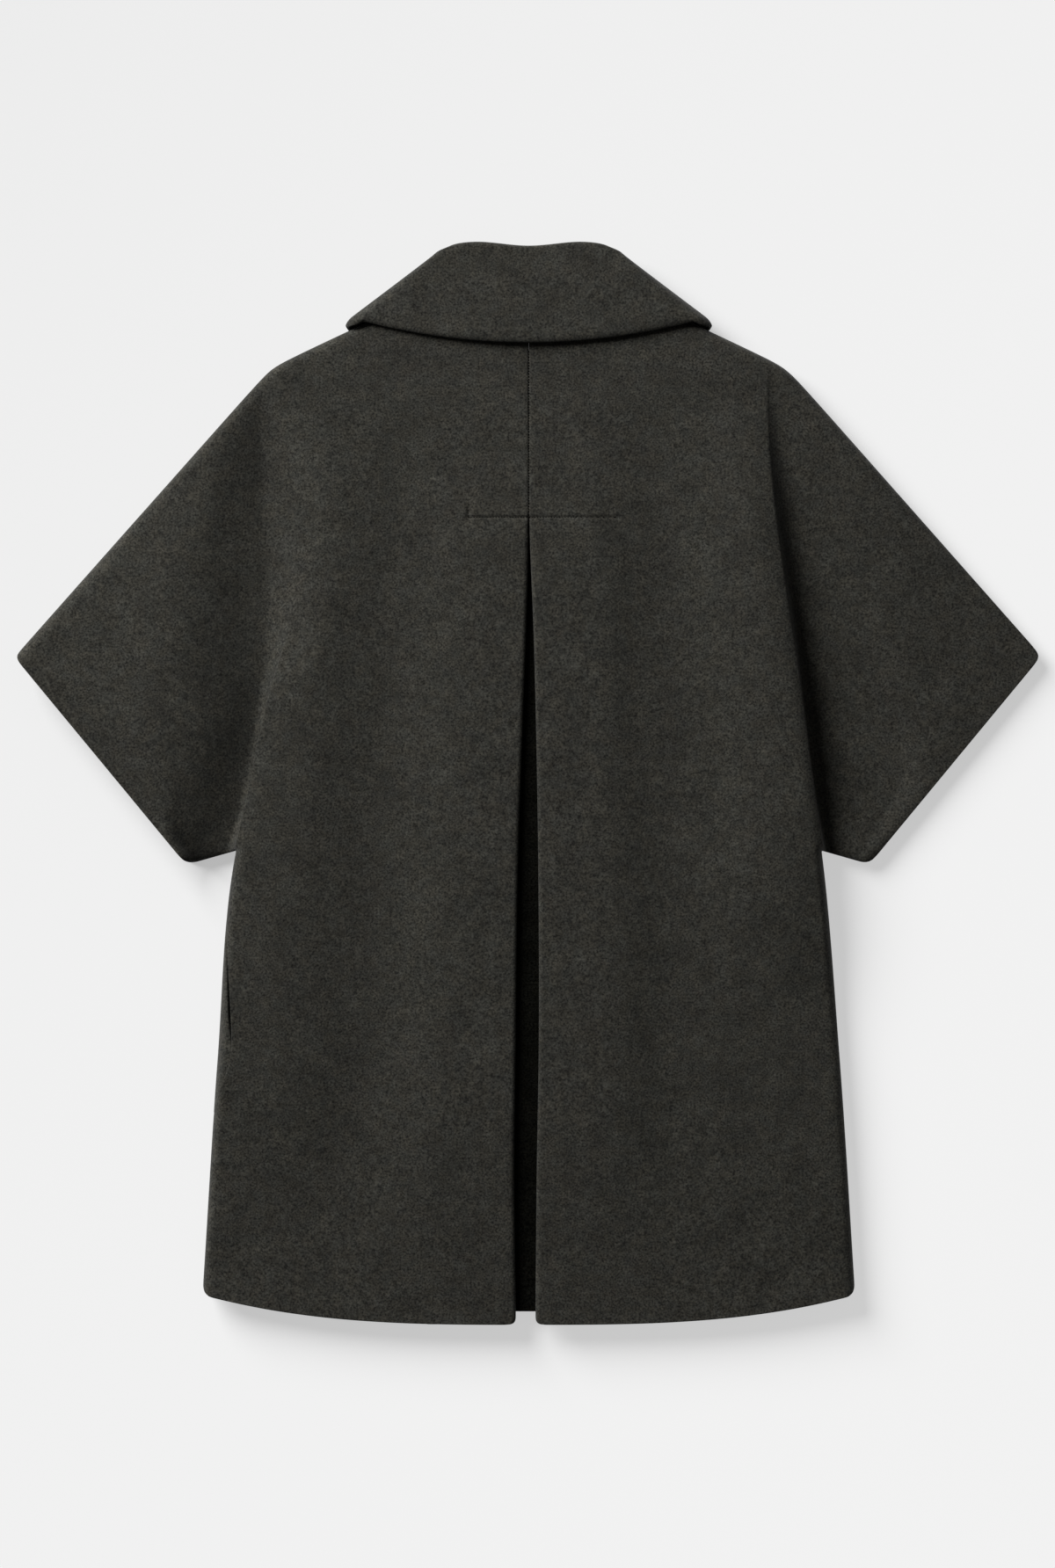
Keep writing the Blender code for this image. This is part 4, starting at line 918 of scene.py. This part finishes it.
def wool(name, color, pale, gloss=1.0):
    material = bpy.data.materials.new(name)
    material.use_nodes = True
    nodes, links = material.node_tree.nodes, material.node_tree.links
    shader = nodes["Principled BSDF"]
    shader.inputs["Roughness"].default_value = ROUGHNESS
    shader.inputs["Specular IOR Level"].default_value = SPECULAR * gloss
    shader.inputs["Sheen Weight"].default_value = SHEEN * gloss
    shader.inputs["Sheen Roughness"].default_value = SHEEN_ROUGHNESS
    place = nodes.new("ShaderNodeTexCoord").outputs["Object"]

    def noise(scale, detail, distortion=0.0):
        node = nodes.new("ShaderNodeTexNoise")
        node.inputs["Scale"].default_value = scale
        node.inputs["Detail"].default_value = detail
        node.inputs["Distortion"].default_value = distortion
        links.new(place, node.inputs["Vector"])
        return node.outputs["Fac"]

    def ramp(value, *stops):
        node = nodes.new("ShaderNodeValToRGB")
        while len(node.color_ramp.elements) < len(stops):
            node.color_ramp.elements.new(0.5)
        for element, (position, shade) in zip(node.color_ramp.elements, stops):
            element.position = position
            element.color = (*shade, 1.0)
        links.new(value, node.inputs["Fac"])
        return node.outputs["Color"]

    def blend(mode, factor, first, second):
        node = nodes.new("ShaderNodeMix")
        node.data_type = "RGBA"
        node.blend_type = mode
        sockets = [item for item in node.inputs if item.enabled]
        for socket, value in zip(sockets, (factor, first, second)):
            if isinstance(value, bpy.types.NodeSocket):
                links.new(value, socket)
            elif socket.type == "VALUE":
                socket.default_value = value
            else:
                socket.default_value = (*value, 1.0)
        return [item for item in node.outputs if item.enabled][0]

    nap = noise(NAP_SCALE, NAP_DETAIL)
    darker = tuple(channel * NAP_DARK for channel in color)
    lighter = tuple(channel * NAP_LIGHT for channel in color)
    base = ramp(nap, (NAP_LOW, darker), (NAP_HIGH, lighter))
    for blotch in BLOTCHES:
        grain = noise(blotch.scale, blotch.detail)
        shade = ramp(grain, (blotch.low, blotch.dark), (blotch.high, blotch.light))
        base = blend("MULTIPLY", 1.0, base, shade)
    strand = noise(FIBRE_SCALE, FIBRE_DETAIL, FIBRE_CURL)
    fibre = ramp(strand, (0.5 - FIBRE_HALF, BLACK), (0.5, FIBRE_SHOW), (0.5 + FIBRE_HALF, BLACK))
    patch = noise(FIBRE_PATCH_SCALE, FIBRE_DETAIL)
    patch = ramp(patch, (FIBRE_PATCH_EDGE, BLACK), (FIBRE_PATCH_FULL, WHITE))
    base = blend("MIX", blend("MULTIPLY", 1.0, fibre, patch), base, pale)
    links.new(base, shader.inputs["Base Color"])
    bump = nodes.new("ShaderNodeBump")
    bump.inputs["Strength"].default_value = NAP_BUMP
    bump.inputs["Distance"].default_value = NAP_DEPTH
    links.new(nap, bump.inputs["Height"])
    links.new(bump.outputs["Normal"], shader.inputs["Normal"])
    return material


# Stage, light and camera
FLOOR_SIZE, FLOOR_GAP = 8.0, 0.0004
FLOOR_SHADE, FLOOR_TONE = 0.45, 0.877
KEY_ELEVATION, KEY_AZIMUTH, KEY_HALF_SPREAD = (math.radians(angle) for angle in (31.0, 135.0, 18.0))
KEY_DISTANCE, KEY_FADE_POWER = 4.0, 3.0
KEY_LIGHT, WORLD_LIGHT = 0.81, 0.08
KEY_PLACE = KEY_DISTANCE * np.array((
    math.cos(KEY_ELEVATION) * math.cos(KEY_AZIMUTH),
    math.cos(KEY_ELEVATION) * math.sin(KEY_AZIMUTH),
    math.sin(KEY_ELEVATION),
))
LENS, SENSOR = 85.0, 36.0
VIEW_HEIGHT, VIEW_X, VIEW_Y, VIEW_LEVEL = 1.2488, -0.00105, -0.000175, 0.02


def even_glow(tree, shader):
    """A glow of the floor that makes up for what the key light loses on its way across it."""

    def math_node(operation, first, second):
        node = tree.nodes.new("ShaderNodeMath")
        node.operation = operation
        for socket, value in zip(node.inputs, (first, second)):
            if isinstance(value, bpy.types.NodeSocket):
                tree.links.new(value, socket)
            else:
                socket.default_value = value
        return node.outputs["Value"]

    reach = tree.nodes.new("ShaderNodeVectorMath")
    reach.operation = "DISTANCE"
    reach.inputs[1].default_value = KEY_PLACE
    tree.links.new(tree.nodes.new("ShaderNodeTexCoord").outputs["Object"], reach.inputs[0])
    near = math_node("POWER", math_node("DIVIDE", KEY_DISTANCE, reach.outputs["Value"]), KEY_FADE_POWER)
    lit = math_node("MULTIPLY", near, FLOOR_SHADE * KEY_LIGHT)
    glow = math_node("SUBTRACT", FLOOR_TONE - FLOOR_SHADE * WORLD_LIGHT, lit)
    tree.links.new(math_node("MAXIMUM", glow, 0.0), shader.inputs["Emission Strength"])


def pale_floor():
    bpy.ops.object.select_all(action="DESELECT")
    bpy.ops.mesh.primitive_plane_add(size=FLOOR_SIZE, location=(0.0, 0.0, -FLOOR_GAP))
    floor = bpy.context.active_object
    floor.name = "floor"
    pale = bpy.data.materials.new("pale_floor")
    pale.use_nodes = True
    shader = pale.node_tree.nodes["Principled BSDF"]
    shader.inputs["Base Color"].default_value = (FLOOR_SHADE, FLOOR_SHADE, FLOOR_SHADE, 1.0)
    shader.inputs["Roughness"].default_value = 1.0
    shader.inputs["Specular IOR Level"].default_value = 0.0
    shader.inputs["Emission Color"].default_value = (*WHITE, 1.0)
    even_glow(pale.node_tree, shader)
    floor.data.materials.append(pale)


def key_lamp():
    """A round lamp at the upper left, as wide as its spread seen from the coat."""
    key = bpy.data.lights.new("key", "AREA")
    key.shape = "DISK"
    key.size = 2.0 * KEY_DISTANCE * math.tan(KEY_HALF_SPREAD)
    spread_distance = KEY_DISTANCE / math.cos(KEY_HALF_SPREAD)
    key.energy = KEY_LIGHT * (math.pi * spread_distance) ** 2 / math.sin(KEY_ELEVATION)
    lamp = bpy.data.objects.new("key", key)
    lamp.location = KEY_PLACE
    lamp.rotation_euler = (0.0, math.pi / 2 - KEY_ELEVATION, KEY_AZIMUTH)
    bpy.context.scene.collection.objects.link(lamp)


def studio_light():
    world = bpy.data.worlds.new("studio")
    world.use_nodes = True
    backdrop = world.node_tree.nodes["Background"]
    backdrop.inputs["Color"].default_value = (*WHITE, 1.0)
    backdrop.inputs["Strength"].default_value = WORLD_LIGHT
    bpy.context.scene.world = world


def camera_above():
    camera = bpy.data.cameras.new("camera")
    camera.lens = LENS
    camera.sensor_width = SENSOR
    eye = bpy.data.objects.new("camera", camera)
    eye.location = (VIEW_X, VIEW_Y, VIEW_HEIGHT * LENS / SENSOR + VIEW_LEVEL)
    bpy.context.scene.collection.objects.link(eye)
    bpy.context.scene.camera = eye
    bpy.context.scene.view_settings.view_transform = "Standard"


def dress(piece, node, material):
    """Gives a finished piece of cloth its material, hangs it from the root and hides its solid."""
    piece.data.materials.clear()
    piece.data.materials.append(material)
    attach(piece, "root")
    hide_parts(node)


coat_wool = wool("coat_wool", WOOL, WOOL_PALE)
# The underlay is painted shade: near black and without gloss or sheen, for the shade in the pleat
underlay_wool = wool("underlay_wool", UNDERLAY_PAINTED_SHADE, UNDERLAY_PAINTED_SHADE, gloss=0.0)
for half in (LEFT, RIGHT):
    front = "front_" + half.name
    dress(front_panel(half), front, coat_wool)
    dress(back_panel(half), "back_" + half.name, coat_wool)
dress(pleat_underlay(), "pleat_underlay", underlay_wool)
dress(pocket_mouth(LEFT), "pocket_left", coat_wool)
dress(collar(), "collar", coat_wool)
thread = stitches()
thread.data.materials.clear()
thread.data.materials.append(wool("dark_thread", THREAD_COLOR, THREAD_COLOR, gloss=0.0))
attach(thread, "root")

pale_floor()
key_lamp()
studio_light()
camera_above()
